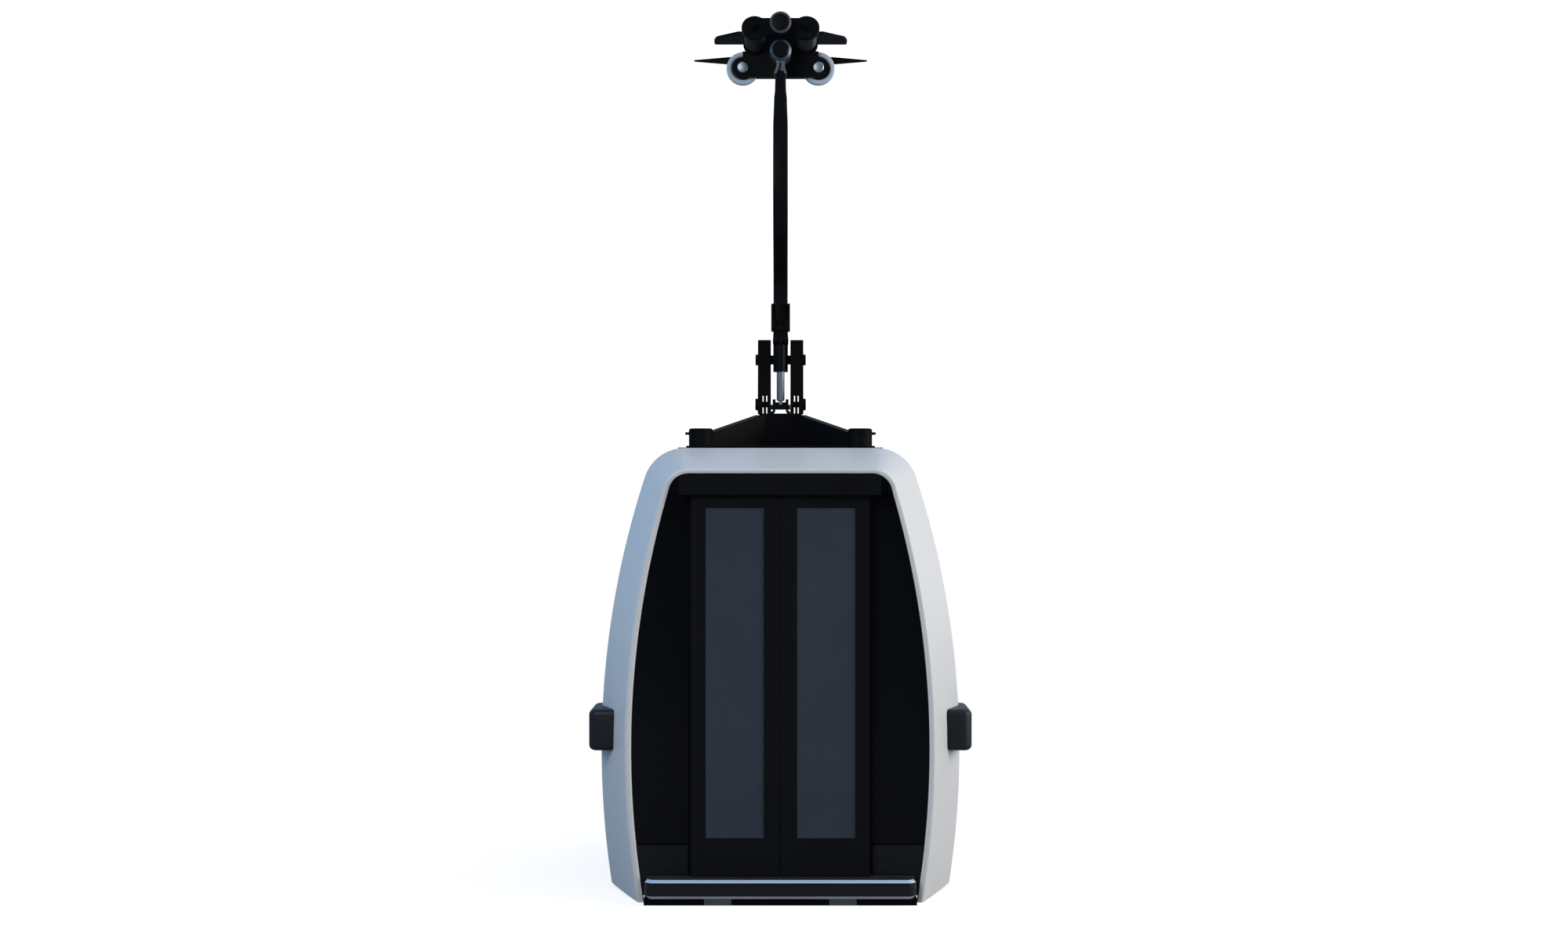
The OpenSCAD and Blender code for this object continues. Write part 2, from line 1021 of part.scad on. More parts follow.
module bumper() {
  low = 707;
  high = 910;
  levels = 4;
  step = (high - low) / levels;
  intersection() {
    union() {
      for (i = [0:levels - 1]) {
        bumper_level([low + i * step, low + (i + 1) * step]);
      }
      difference() {
        sheet_xy([low, high])
          intersection() {
            bumper_plan();
            rect([700, 1000], [-mid_half, -390]);
          }
        sheet_xz([-500, -300])
          polygon(outline(0, 0, 0));
      }
    }
    sheet_xz([-700, -300])
      round_rect([700, 945], [low, high], 26);
  }
}

module bumpers() {
  color(rubber)
    in_cabin()
      both_ends()
        both_faces()
          bumper();
}

// ---------- openings, glass and doors ----------

module opening_shape(z) {
  intersection() {
    polygon(outline(1, 0, 0));
    rect([-1200, 1200], z);
  }
}

module rear_window() {
  color(glass)
    in_cabin()
      sheet_xz([822, 830])
        opening_shape([side_glass_z, open_top + 10]);
}

module rear_frame() {
  color(black)
    in_cabin()
      sheet_xz([796, 822])
        difference() {
          opening_shape([base_t + 1, open_top + 10]);
          intersection() {
            polygon(outline(1, 42, 0));
            rect([-1200, 1200], [side_glass_z + 20, open_top]);
          }
          rect([-600, 600], [base_t, side_glass_z - 40]);
        }
}

module side_glasses() {
  color(dark_glass)
    in_cabin()
      sheet_xz([-832, -824])
        difference() {
          opening_shape([side_glass_z, lintel_z]);
          rect([-jamb_out, jamb_out], [0, 2200]);
        }
}

// Header and jambs, each a bar of its own with a hairline joint between them.
module door_surround() {
  header_low = 1950;
  color(black)
    in_cabin() {
      sheet_xz([surround_front, surround_back]) {
        opening_shape([lintel_z, open_top + 10]);
        rect([-jamb_out, jamb_out], [header_low, lintel_z + 1]);
      }
      both_ends() {
        box([jamb_out + frame_gap, 556], [surround_back - 2, -792], [1871, lintel_z - frame_gap]);
        box([jamb_in, jamb_out], [surround_front, surround_back], [base_t + 1, header_low - frame_gap]);
        box([jamb_out + frame_gap, 660], [surround_front + 1, -834], [277, side_glass_z]);
      }
    }
}

module sill_panels() {
  color(black)
    in_cabin() {
      sheet_xz([-842, -826])
        difference() {
          opening_shape([base_t + 1, 276]);
          rect([-jamb_out - frame_gap, jamb_out + frame_gap], [0, 400]);
        }
      sheet_xz([822, 840])
        opening_shape([base_t + 1, side_glass_z]);
    }
}

module header_cover() {
  color(black)
    in_cabin()
      difference() {
        sheet_xz([-925, surround_front])
          polygon([
            [-485, 1970], [485, 1970], [485, 2056], [475, 2066], [-475, 2066], [-485, 2056]
          ]);
        box([-476, 476], [-916, -840], [1960, 2057]);
        box([-490, 490], [leaf_front - 4, -840], [1960, leaf_top + 5]);
      }
}

module door_track() {
  color(zinc)
    in_cabin()
      box([-472, 472], [-866, surround_front], [1995, 2025]);
}

// Right-hand leaf; the left one is its mirror image.
module leaf_frame() {
  difference() {
    sheet_xz([leaf_front, leaf_back])
      difference() {
        rect([leaf_gap, leaf_gap + leaf_w], [leaf_bottom, leaf_top]);
        round_rect(
          [leaf_gap + meeting_stile, leaf_gap + leaf_w - outer_stile],
          [glass_bottom, glass_top], 7
        );
      }
    box([leaf_gap + 14, leaf_gap + leaf_w - 14], [leaf_back - 20, leaf_back + 1],
      [leaf_bottom + 14, glass_bottom - 14]);
    box([leaf_gap + 14, leaf_gap + meeting_stile - 12], [leaf_back - 20, leaf_back + 1],
      [glass_bottom, glass_top]);
    box([leaf_gap + leaf_w - outer_stile + 12, leaf_gap + leaf_w - 14],
      [leaf_back - 20, leaf_back + 1], [glass_bottom, glass_top]);
  }
  box([leaf_gap - 3.2, leaf_gap], [-886, -858], [leaf_bottom + 6, leaf_top - 6]);
  box([22, 70], [-886, -876], [leaf_top, 2044]);
  along_y([-876, -850], 46, 2025 + 9.6, 9);
}

module leaf_glass() {
  sheet_xz([leaf_front + 6, leaf_front + 12])
    round_rect(
      [leaf_gap + meeting_stile, leaf_gap + leaf_w - outer_stile],
      [glass_bottom, glass_top], 14
    );
}

module right_door_frame() {
  color(black)
    in_cabin()
      leaf_frame();
}

module right_door_glass() {
  color(glass)
    in_cabin()
      leaf_glass();
}

module left_door_frame() {
  color(black)
    in_cabin()
      mirror([1, 0, 0])
        leaf_frame();
}

module left_door_glass() {
  color(glass)
    in_cabin()
      mirror([1, 0, 0])
        leaf_glass();
}

// ---------- floor, step and interior ----------

module floor_pan() {
  color(graphite)
    in_cabin() {
      sheet_xy([floor_z - floor_t, floor_z])
        both_faces()
          both_ends()
            polygon([
              [0, 0], [825, 0], [825, -440], [762, -600], [690, -770], [650, -796], [0, -796]
            ]);
      both_faces()
        both_ends() {
          box([0, 640], [-796, -788], [base_t, floor_z - floor_t]);
          box([228, 235], [-788, 0], [base_t, floor_z - floor_t]);
          box([640, 648], [-796, 0], [base_t, floor_z - floor_t]);
        }
    }
}

skid_x = [235, 366];
skid_wall = 8;
base_front = -925;

module under_frame() {
  color(black)
    in_cabin() {
      both_ends() {
        box([600, 656], [base_front, 850], [0, base_t]);
        box([skid_x[1] + frame_gap, 600 - frame_gap], [base_front, base_front + 70], [0, base_t]);
        box([skid_x[1] + frame_gap, 600 - frame_gap], [780, 850], [0, base_t]);
      }
      box([frame_gap - skid_x[0], skid_x[0] - frame_gap], [base_front, base_front + 70], [0, base_t]);
      box([frame_gap - skid_x[0], skid_x[0] - frame_gap], [780, 850], [0, base_t]);
    }
}

module floor_skids() {
  color(zinc)
    in_cabin()
      both_ends()
        difference() {
          box(skid_x, [base_front, 850], [0, base_t]);
          box([skid_x[0] + skid_wall, skid_x[1] - skid_wall], [base_front + 8, 842], [skid_wall, base_t + 1]);
        }
}

module step_plate() {
  color(graphite)
    in_cabin()
      sheet_xy([112, floor_z])
        both_ends()
          polygon([[0, -900], [644, -900], [644, -846], [424, -846], [424, -796], [0, -796]]);
}

module step_rail() {
  color(black)
    in_cabin()
      intersection() {
        sheet_xy([0, 200])
          difference() {
            round_rect([-rail_half, rail_half], [-rail_y, -850], 46);
            rect([-700, 700], [-900, -800]);
          }
        sheet_yz([-700, 700])
          difference() {
            polygon([
              [-rail_y + 15, base_t + 1], [-rail_y, base_t + 16], [-rail_y, floor_z - 19],
              [-rail_y + 14, floor_z - 5], [-890, floor_z - 5], [-890, base_t + 1]
            ]);
            rect([-rail_y + 20, -890], [base_t + 8, floor_z - 13]);
          }
      }
}

module bench_frames() {
  color(zinc)
    in_cabin()
      both_ends() {
        box([440, 822], [-560, 560], [458, 466]);
        box([440, 448], [-560, 560], [420, 458 - frame_gap]);
        both_faces() {
          sheet_xz([-520, -512])
            polygon([
              [640, floor_z], [790, floor_z], [790, 458 - frame_gap],
              [448 + frame_gap, 458 - frame_gap], [448 + frame_gap, 420], [600, 360]
            ]);
          box([620, 790], [-545, -512], [floor_z, floor_z + 8]);
        }
      }
}

module seat_cushions() {
  color(graphite)
    in_cabin()
      both_ends()
        sheet_xy([466, 540])
          round_rect([425, 766], [-575, 575], 40);
}

module backrests() {
  color(graphite)
    in_cabin()
      both_ends()
        sheet_yz([768, 818])
          round_rect([-575, 575], [500, 900], 40);
}

carrier_frame();
fixed_jaw();
rope_guides();
friction_plate();
wheel_axles();
pivot_shaft();
spring_left();
spring_right();
spring_plate();
draw_rods();
rod_nuts();
moving_jaw();
release_shaft();
release_roller();
left_wheel_hub();
left_wheel_tyre();
right_wheel_hub();
right_wheel_tyre();
hanger_head();
hanger_bush();
hanger_arm();
hanger_socket();
socket_pins();
hanger_foot();
damper_barrel();
damper_rod();
pivot_pin();
suspension_posts();
post_bolts();
damper_yoke();
roof_frame();
buffer_caps();
buffer_rubbers();
roof_plate();
roof_vents();
roof_shell();
front_portal();
rear_portal();
end_panels();
windscreens();
bumpers();
rear_window();
rear_frame();
side_glasses();
door_surround();
header_cover();
door_track();
floor_pan();
under_frame();
floor_skids();
step_plate();
step_rail();
sill_panels();
bench_frames();
seat_cushions();
backrests();
left_door_frame();
left_door_glass();
right_door_frame();
right_door_glass();
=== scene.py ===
import json
import math

import bmesh
import bpy
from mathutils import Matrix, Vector

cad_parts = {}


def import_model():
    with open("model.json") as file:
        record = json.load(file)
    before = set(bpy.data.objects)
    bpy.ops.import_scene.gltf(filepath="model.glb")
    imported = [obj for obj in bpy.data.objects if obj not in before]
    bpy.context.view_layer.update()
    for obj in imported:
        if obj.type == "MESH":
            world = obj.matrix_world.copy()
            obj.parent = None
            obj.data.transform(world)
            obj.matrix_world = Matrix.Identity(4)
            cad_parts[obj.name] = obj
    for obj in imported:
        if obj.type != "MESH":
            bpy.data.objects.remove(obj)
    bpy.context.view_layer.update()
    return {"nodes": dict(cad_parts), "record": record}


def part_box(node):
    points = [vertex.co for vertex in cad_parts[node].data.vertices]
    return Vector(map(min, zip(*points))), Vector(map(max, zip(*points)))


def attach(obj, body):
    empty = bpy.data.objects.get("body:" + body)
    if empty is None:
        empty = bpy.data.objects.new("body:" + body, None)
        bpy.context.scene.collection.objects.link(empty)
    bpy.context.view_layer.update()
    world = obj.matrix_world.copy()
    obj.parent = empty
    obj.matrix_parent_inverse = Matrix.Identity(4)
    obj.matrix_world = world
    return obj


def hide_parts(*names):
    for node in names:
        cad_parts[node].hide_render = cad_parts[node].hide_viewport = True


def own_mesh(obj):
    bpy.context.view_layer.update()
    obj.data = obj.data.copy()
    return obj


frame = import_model()
NODES = frame["nodes"]


# ---------------------------------------------------------------- materials


def new_material(name):
    mat = bpy.data.materials.new(name)
    mat.use_nodes = True
    nodes = mat.node_tree.nodes
    links = mat.node_tree.links
    return mat, nodes, links, nodes["Principled BSDF"]


def coords(nodes, links, scale=(1, 1, 1)):
    texture = nodes.new("ShaderNodeTexCoord")
    mapping = nodes.new("ShaderNodeMapping")
    mapping.inputs["Scale"].default_value = scale
    links.new(texture.outputs["Object"], mapping.inputs["Vector"])
    return mapping.outputs["Vector"]


def noise(nodes, links, vector, scale, detail=4.0, rough=0.55):
    node = nodes.new("ShaderNodeTexNoise")
    node.inputs["Scale"].default_value = scale
    node.inputs["Detail"].default_value = detail
    node.inputs["Roughness"].default_value = rough
    links.new(vector, node.inputs["Vector"])
    return node.outputs["Fac"]


def ramp(nodes, links, value, stops):
    node = nodes.new("ShaderNodeValToRGB")
    bar = node.color_ramp
    while len(bar.elements) < len(stops):
        bar.elements.new(0.5)
    for element, (place, colour) in zip(bar.elements, stops):
        element.position = place
        element.color = (*colour, 1.0)
    links.new(value, node.inputs["Fac"])
    return node.outputs["Color"]


def grey(v):
    return (v, v, v)


def shade(colour, k):
    return tuple(min(1.0, c * k) for c in colour)


def bump(nodes, links, value, strength, distance, bsdf, chain=None):
    node = nodes.new("ShaderNodeBump")
    node.inputs["Strength"].default_value = strength
    node.inputs["Distance"].default_value = distance
    links.new(value, node.inputs["Height"])
    if chain is not None:
        links.new(chain, node.inputs["Normal"])
    links.new(node.outputs["Normal"], bsdf.inputs["Normal"])
    return node.outputs["Normal"]


def paint(name, colour, rough=0.35, coat=0.0, metal=0.0, grain=900.0, peel=0.0006,
          spread=0.06, stretch=(1, 1, 1), strength=0.15, specular=0.5):
    """A coated or moulded surface: slight colour drift, fine grain and varied gloss."""
    mat, nodes, links, bsdf = new_material(name)
    vector = coords(nodes, links, stretch)
    drift = noise(nodes, links, vector, 2.3, 5.0)
    links.new(ramp(nodes, links, drift, [
        (0.3, shade(colour, 1 - spread)), (0.7, shade(colour, 1 + spread))]),
        bsdf.inputs["Base Color"])
    smear = noise(nodes, links, vector, 9.0, 6.0, 0.65)
    links.new(ramp(nodes, links, smear, [
        (0.25, grey(max(0.02, rough - 0.06))), (0.8, grey(rough + 0.08))]),
        bsdf.inputs["Roughness"])
    fine = noise(nodes, links, vector, grain, 3.0)
    bump(nodes, links, fine, strength, peel, bsdf)
    bsdf.inputs["Metallic"].default_value = metal
    bsdf.inputs["Coat Weight"].default_value = coat
    bsdf.inputs["Coat Roughness"].default_value = 0.06
    bsdf.inputs["Specular IOR Level"].default_value = specular
    return mat


def metal(name, colour, rough=0.3, stretch=(1, 1, 1), grain=220.0, mottled=0.12, strength=0.12):
    """Bare or plated metal with machining grain and mottled gloss."""
    mat, nodes, links, bsdf = new_material(name)
    vector = coords(nodes, links, stretch)
    blotch = noise(nodes, links, vector, 26.0, 6.0, 0.6)
    links.new(ramp(nodes, links, blotch, [
        (0.3, shade(colour, 1 - mottled)), (0.7, shade(colour, 1 + mottled * 0.6))]),
        bsdf.inputs["Base Color"])
    scratch = noise(nodes, links, vector, grain, 5.0, 0.7)
    links.new(ramp(nodes, links, scratch, [
        (0.25, grey(max(0.03, rough - 0.08))), (0.8, grey(rough + 0.14))]),
        bsdf.inputs["Roughness"])
    bump(nodes, links, scratch, strength, 0.0004, bsdf)
    bsdf.inputs["Metallic"].default_value = 1.0
    return mat


def tinted(name, colour, rough=0.05, clear=0.35, dust=0.08, specular=0.5):
    """Tinted acrylic seen from outside: a dark body under a clear reflecting face."""
    mat, nodes, links, bsdf = new_material(name)
    vector = coords(nodes, links)
    drift = noise(nodes, links, vector, 1.6, 3.0)
    links.new(ramp(nodes, links, drift, [
        (0.3, shade(colour, 0.92)), (0.7, shade(colour, 1.06))]), bsdf.inputs["Base Color"])
    film = noise(nodes, links, vector, 14.0, 7.0, 0.7)
    links.new(ramp(nodes, links, film, [
        (0.35, grey(rough)), (0.85, grey(rough + dust))]), bsdf.inputs["Roughness"])
    links.new(ramp(nodes, links, drift, [
        (0.3, grey(1 - clear - 0.02)), (0.7, grey(1 - clear + 0.02))]), bsdf.inputs["Alpha"])
    wave = noise(nodes, links, vector, 3.0, 2.0)
    bump(nodes, links, wave, 0.02, 0.002, bsdf)
    bsdf.inputs["Specular IOR Level"].default_value = specular
    return mat


def leatherette(name, colour):
    mat, nodes, links, bsdf = new_material(name)
    vector = coords(nodes, links)
    cells = nodes.new("ShaderNodeTexVoronoi")
    cells.inputs["Scale"].default_value = 420.0
    cells.feature = "DISTANCE_TO_EDGE"
    links.new(vector, cells.inputs["Vector"])
    drift = noise(nodes, links, vector, 5.0, 5.0)
    links.new(ramp(nodes, links, drift, [
        (0.3, shade(colour, 0.85)), (0.7, shade(colour, 1.15))]), bsdf.inputs["Base Color"])
    wear = noise(nodes, links, vector, 18.0, 5.0, 0.6)
    links.new(ramp(nodes, links, wear, [(0.3, grey(0.42)), (0.8, grey(0.58))]),
              bsdf.inputs["Roughness"])
    bump(nodes, links, cells.outputs["Distance"], 0.5, 0.0012, bsdf)
    bsdf.inputs["Sheen Weight"].default_value = 0.15
    return mat


def tread(name, colour):
    """Ribbed sheet: raised lines across the step and the floor."""
    mat, nodes, links, bsdf = new_material(name)
    vector = coords(nodes, links)
    ribs = nodes.new("ShaderNodeTexWave")
    ribs.wave_type = "BANDS"
    ribs.bands_direction = "Y"
    ribs.inputs["Scale"].default_value = 30.0
    links.new(vector, ribs.inputs["Vector"])
    grime = noise(nodes, links, vector, 12.0, 6.0, 0.65)
    links.new(ramp(nodes, links, grime, [
        (0.3, shade(colour, 0.8)), (0.7, shade(colour, 1.2))]), bsdf.inputs["Base Color"])
    links.new(ramp(nodes, links, grime, [(0.3, grey(0.4)), (0.8, grey(0.62))]),
              bsdf.inputs["Roughness"])
    bump(nodes, links, ribs.outputs["Fac"], 0.5, 0.002, bsdf)
    bsdf.inputs["Metallic"].default_value = 0.6
    return mat


BLACK = paint("black_paint", (0.0050, 0.0056, 0.0068), rough=0.36, grain=700, specular=0.05)
GLOSS = paint("black_gloss", (0.0075, 0.0088, 0.0115), rough=0.2, grain=300, strength=0.05,
              specular=0.45)
ALLOY = paint("black_alloy", (0.0042, 0.0046, 0.0058), rough=0.45, grain=1200, specular=0.03)
LEAF = paint("door_alloy", (0.0075, 0.0080, 0.0098), rough=0.34, grain=1200, specular=0.07)
PLASTIC = paint("black_plastic", (0.0058, 0.0062, 0.0080), rough=0.42, grain=1500, strength=0.25,
                specular=0.06)
SILL = paint("sill_sheet", (0.0092, 0.0100, 0.0118), rough=0.25, grain=500, strength=0.05,
             specular=0.2)
RUBBER = paint("black_rubber", (0.0034, 0.0037, 0.0042), rough=0.6, grain=800, strength=0.3,
               specular=0.06)
PAD = paint("bumper_rubber", (0.011, 0.014, 0.018), rough=0.45, grain=600, strength=0.3,
            specular=0.3)
SHELL = paint("white_shell", (0.72, 0.735, 0.75), rough=0.38, coat=0.08, grain=60,
              strength=0.008, spread=0.006)
# Brighter white for the rounded lip of each portal opening: a painted highlight.
SHELL_LIP_HIGHLIGHT = paint("painted_lip_highlight", (0.93, 0.94, 0.95), rough=0.3, coat=0.1, grain=60,
                  strength=0.008, spread=0.004)
FORGED = metal("forged_steel", (0.030, 0.032, 0.036), rough=0.45, grain=160, strength=0.3)
SPRING = paint("spring_steel", (0.016, 0.018, 0.022), rough=0.3, grain=500, specular=0.35)
ZINC = metal("zinc_steel", (0.060, 0.068, 0.082), rough=0.36)
BRIGHT = metal("bright_steel", (0.36, 0.42, 0.50), rough=0.42, mottled=0.04)
GALV = metal("galvanised", (0.13, 0.16, 0.20), rough=0.42, grain=60, mottled=0.2)
BRONZE = metal("bronze", (0.50, 0.33, 0.14), rough=0.3)
CHROME = paint("chrome_rod", (0.23, 0.275, 0.335), rough=0.30, metal=0.45, strength=0.03)
TYRE = paint("pale_tyre", (0.46, 0.57, 0.70), rough=0.4, grain=500, spread=0.1)
ANODISED = metal("anodised", (0.20, 0.225, 0.26), rough=0.4, stretch=(1, 0.05, 1))
SEAT = leatherette("seat_cover", (0.035, 0.038, 0.045))
TREAD = tread("floor_alloy", (0.045, 0.048, 0.054))
# Painted reflections for the step rail's chamfers: light blue for the sky on the top one, near
# white for the floor on the bottom one.
RAIL_SKY_REFLECTION = paint("painted_sky_reflection", (0.62, 0.75, 0.92), rough=0.25, metal=0.4, stretch=(0.05, 1, 1))
RAIL_FLOOR_REFLECTION = paint("painted_floor_reflection", (0.86, 0.90, 0.94), rough=0.4, grain=500)
# Lighter colour for bevel and chamfer faces: a painted highlight where the edges catch the light.
EDGE_HIGHLIGHT = paint("painted_edge_highlight", (0.055, 0.060, 0.070), rough=0.45, grain=400, specular=0.3)
DOOR_GLASS = tinted("door_screen", (0.047, 0.059, 0.080), rough=0.14, clear=0.1, specular=0.2)
SIDE_GLASS = tinted("dark_screen", (0.0044, 0.0047, 0.0064), rough=0.1, clear=0.02, specular=0.12)
END_GLASS = tinted("tinted_screen", (0.010, 0.013, 0.018), rough=0.05, clear=0.3, specular=0.5)

FINISH = {
    "black_paint": BLACK, "forged_steel": FORGED, "bright_steel": BRIGHT,
    "spring_steel": SPRING, "zinc_steel": ZINC, "black_roller": PLASTIC,
    "pale_tyre": TYRE, "galvanised": GALV, "bronze": BRONZE, "chrome_rod": CHROME,
    "black_alloy": ALLOY, "black_rubber": RUBBER, "black_plastic": PLASTIC,
    "white_shell": SHELL, "tinted_screen": END_GLASS, "dark_screen": SIDE_GLASS,
    "door_screen": DOOR_GLASS, "anodised": ANODISED, "floor_alloy": TREAD,
    "black_gloss": GLOSS, "seat_cover": SEAT,
}
SLOT_OF = {part["node"]: part["material_slot"] for part in frame["record"]["subparts"]}
BODY_OF = {
    node: body
    for body, names in frame["record"]["behaviour"]["bodies"].items()
    for node in names
}


# ---------------------------------------------------------------- mesh tools


def finish_mesh(name, mesh, mat, smooth_angle=35.0):
    obj = bpy.data.objects.new(name, mesh)
    bpy.context.scene.collection.objects.link(obj)
    mesh.materials.append(mat)
    for polygon in mesh.polygons:
        polygon.use_smooth = True
    mesh.set_sharp_from_angle(angle=math.radians(smooth_angle))
    return obj


def from_bmesh(name, bm, mat, smooth_angle=35.0):
    mesh = bpy.data.meshes.new(name)
    bmesh.ops.recalc_face_normals(bm, faces=bm.faces)
    bm.to_mesh(mesh)
    bm.free()
    return finish_mesh(name, mesh, mat, smooth_angle)


def round_edges(bm, width, segments=3, angle=28.0):
    edges = [e for e in bm.edges
             if len(e.link_faces) == 2 and e.calc_face_angle(0) > math.radians(angle)]
    if edges and width > 0:
        bmesh.ops.bevel(bm, geom=edges, offset=width, segments=segments, profile=0.5,
                        affect="EDGES", clamp_overlap=True)


def prism(bm, outline, axis, low, high):
    """Adds a straight solid of a flat outline; axis is the letter it runs along."""
    place = {
        "x": lambda a, b, c: (c, a, b),
        "y": lambda a, b, c: (a, c, b),
        "z": lambda a, b, c: (a, b, c),
    }[axis]
    near = [bm.verts.new(place(a, b, low)) for a, b in outline]
    far = [bm.verts.new(place(a, b, high)) for a, b in outline]
    count = len(outline)
    for i in range(count):
        j = (i + 1) % count
        bm.faces.new((near[i], near[j], far[j], far[i]))
    bm.faces.new(list(reversed(near)))
    bm.faces.new(far)


def block(bm, low, high):
    prism(bm, [(low[0], low[1]), (high[0], low[1]), (high[0], high[1]), (low[0], high[1])],
          "z", low[2], high[2])


def ring_prism(bm, outer, inner, axis, low, high):
    """A straight frame between two outlines with the same number of points."""
    place = {
        "x": lambda a, b, c: (c, a, b),
        "y": lambda a, b, c: (a, c, b),
        "z": lambda a, b, c: (a, b, c),
    }[axis]
    rows = []
    for outline, depth in ((outer, low), (outer, high), (inner, high), (inner, low)):
        rows.append([bm.verts.new(place(a, b, depth)) for a, b in outline])
    count = len(outer)
    for k in range(4):
        here, there = rows[k], rows[(k + 1) % 4]
        for i in range(count):
            j = (i + 1) % count
            bm.faces.new((here[i], here[j], there[j], there[i]))


def rounded_outline(x0, x1, y0, y1, r, steps=6):
    points = []
    for cx, cy, start in ((x1 - r, y1 - r, 0), (x0 + r, y1 - r, 90), (x0 + r, y0 + r, 180),
                          (x1 - r, y0 + r, 270)):
        for i in range(steps + 1):
            a = math.radians(start + 90 * i / steps)
            points.append((cx + r * math.cos(a), cy + r * math.sin(a)))
    return points


def lathe(bm, profile, centre, axis, steps=96):
    """Turns (radius, along) points about an axis vector through centre."""
    turn = Vector((0, 0, 1)).rotation_difference(Vector(axis).normalized()).to_matrix()
    rows = []
    for radius, along in profile:
        if radius < 1e-6:
            rows.append([bm.verts.new(Vector(centre) + turn @ Vector((0, 0, along)))])
            continue
        rows.append([
            bm.verts.new(Vector(centre) + turn @ Vector((
                radius * math.cos(2 * math.pi * i / steps),
                radius * math.sin(2 * math.pi * i / steps), along)))
            for i in range(steps)])
    for a, b in zip(rows, rows[1:]):
        for i in range(steps):
            j = (i + 1) % steps
            if len(a) == 1 and len(b) == 1:
                continue
            if len(a) == 1:
                bm.faces.new((a[0], b[j], b[i]))
            elif len(b) == 1:
                bm.faces.new((a[i], a[j], b[0]))
            else:
                bm.faces.new((a[i], a[j], b[j], b[i]))


def sweep(bm, path, radius, steps=14):
    """A round wire along a list of points, closed at both ends."""
    rows = []
    side = None
    for i, point in enumerate(path):
        ahead = path[min(i + 1, len(path) - 1)] - path[max(i - 1, 0)]
        ahead.normalize()
        if side is None:
            side = ahead.orthogonal().normalized()
        side = (side - ahead * side.dot(ahead)).normalized()
        up = ahead.cross(side)
        rows.append([bm.verts.new(point + radius * (
            math.cos(2 * math.pi * k / steps) * side + math.sin(2 * math.pi * k / steps) * up))
            for k in range(steps)])
    for a, b in zip(rows, rows[1:]):
        for k in range(steps):
            m = (k + 1) % steps
            bm.faces.new((a[k], a[m], b[m], b[k]))
    bm.faces.new(list(reversed(rows[0])))
    bm.faces.new(rows[-1])


def stand_in(obj, *nodes):
    """A new piece rides with the body of the first node it replaces, and hides the nodes it
    replaces.
    """
    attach(obj, BODY_OF[nodes[0]])
    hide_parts(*nodes)
    return obj


def join_detail(obj, node):
    """A new piece that adds to a node without hiding it."""
    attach(obj, BODY_OF[node])
    return obj


# ---------------------------------------------------------------- CAD parts that stay

# Width of the rounded edge on each CAD part that stays; 1 mm on the others.
EDGE = {
    "carrier_frame": 0.003, "fixed_jaw": 0.003, "rope_guides": 0.0015, "friction_plate": 0.002,
    "spring_plate": 0.004, "draw_rods": 0.0015, "rod_nuts": 0.0015, "moving_jaw": 0.003,
    "release_shaft": 0.002, "hanger_head": 0.004, "hanger_socket": 0.003, "hanger_foot": 0.003,
    "damper_barrel": 0.002, "pivot_pin": 0.008, "suspension_posts": 0.003, "post_bolts": 0.008,
    "damper_yoke": 0.002, "roof_frame": 0.003, "buffer_caps": 0.0, "buffer_rubbers": 0.002,
    "roof_plate": 0.001, "roof_vents": 0.003, "floor_pan": 0.001, "under_frame": 0.001,
    "floor_skids": 0.001, "step_plate": 0.002, "bench_frames": 0.001, "rear_frame": 0.003,
    "hanger_bush": 0.0005, "door_surround": 0.003, "header_cover": 0.004,
    "left_door_frame": 0.003, "right_door_frame": 0.003,
}


# Parts whose rounded edges get a lighter colour: a painted highlight line.
HIGHLIGHT_EDGED_PARTS = ("header_cover", "left_door_frame", "right_door_frame", "door_surround", "spring_plate")


def dress_cad_parts():
    for node, obj in NODES.items():
        obj.data.materials.clear()
        obj.data.materials.append(FINISH[SLOT_OF[node]])
        width = EDGE.get(node, 0.001)
        if width and not obj.hide_render:
            soft = obj.modifiers.new("edge", "BEVEL")
            soft.width = width
            soft.segments = 3
            soft.limit_method = "ANGLE"
            soft.angle_limit = math.radians(32)
            soft.use_clamp_overlap = True
            # The bevel faces take the painted highlight colour.
            if node in HIGHLIGHT_EDGED_PARTS:
                obj.data.materials.append(EDGE_HIGHLIGHT)
                soft.material = 1
    NODES["sill_panels"].data.materials[0] = SILL
    for node in ("buffer_caps", "friction_plate"):
        NODES[node].data.materials[0] = ALLOY
    for side in ("left", "right"):
        NODES[side + "_door_frame"].data.materials[0] = LEAF


# ---------------------------------------------------------------- cabin shell

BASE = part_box("under_frame")[0].z
END_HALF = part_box("end_panels")[1].x
SHELL_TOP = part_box("roof_shell")[1].z - BASE
MID_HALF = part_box("roof_shell")[1].y
RIDGE_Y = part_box("rear_portal")[1].y
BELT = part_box("end_panels")[1].z - BASE
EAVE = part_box("roof_shell")[0].z - BASE
BASE_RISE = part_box("end_panels")[0].z - BASE
WALL = 0.022
WIDEST = (0.690, 0.740)          # height of the widest level: shell, opening
HALF = (END_HALF, 0.722)         # half length: shell, opening
TOP = (SHELL_TOP, 2.072)         # top: shell, opening
CORNER = (0.210, 0.095)          # upper corner radius: shell, opening
BOW = 4.4
LIP = 0.032
SEAM = 0.0015
TAPER_F = (0.0, 0.16, 0.5, 0.85)
TAPER_Y = (MID_HALF, 0.520, 0.700, RIDGE_Y)
FINE = 56
CURVE = 22


def mix(a, b, t):
    return a + (b - a) * t


def bezier(p, t):
    u = 1 - t
    return p[0] * u ** 3 + 3 * p[1] * t * u * u + 3 * p[2] * t * t * u + p[3] * t ** 3


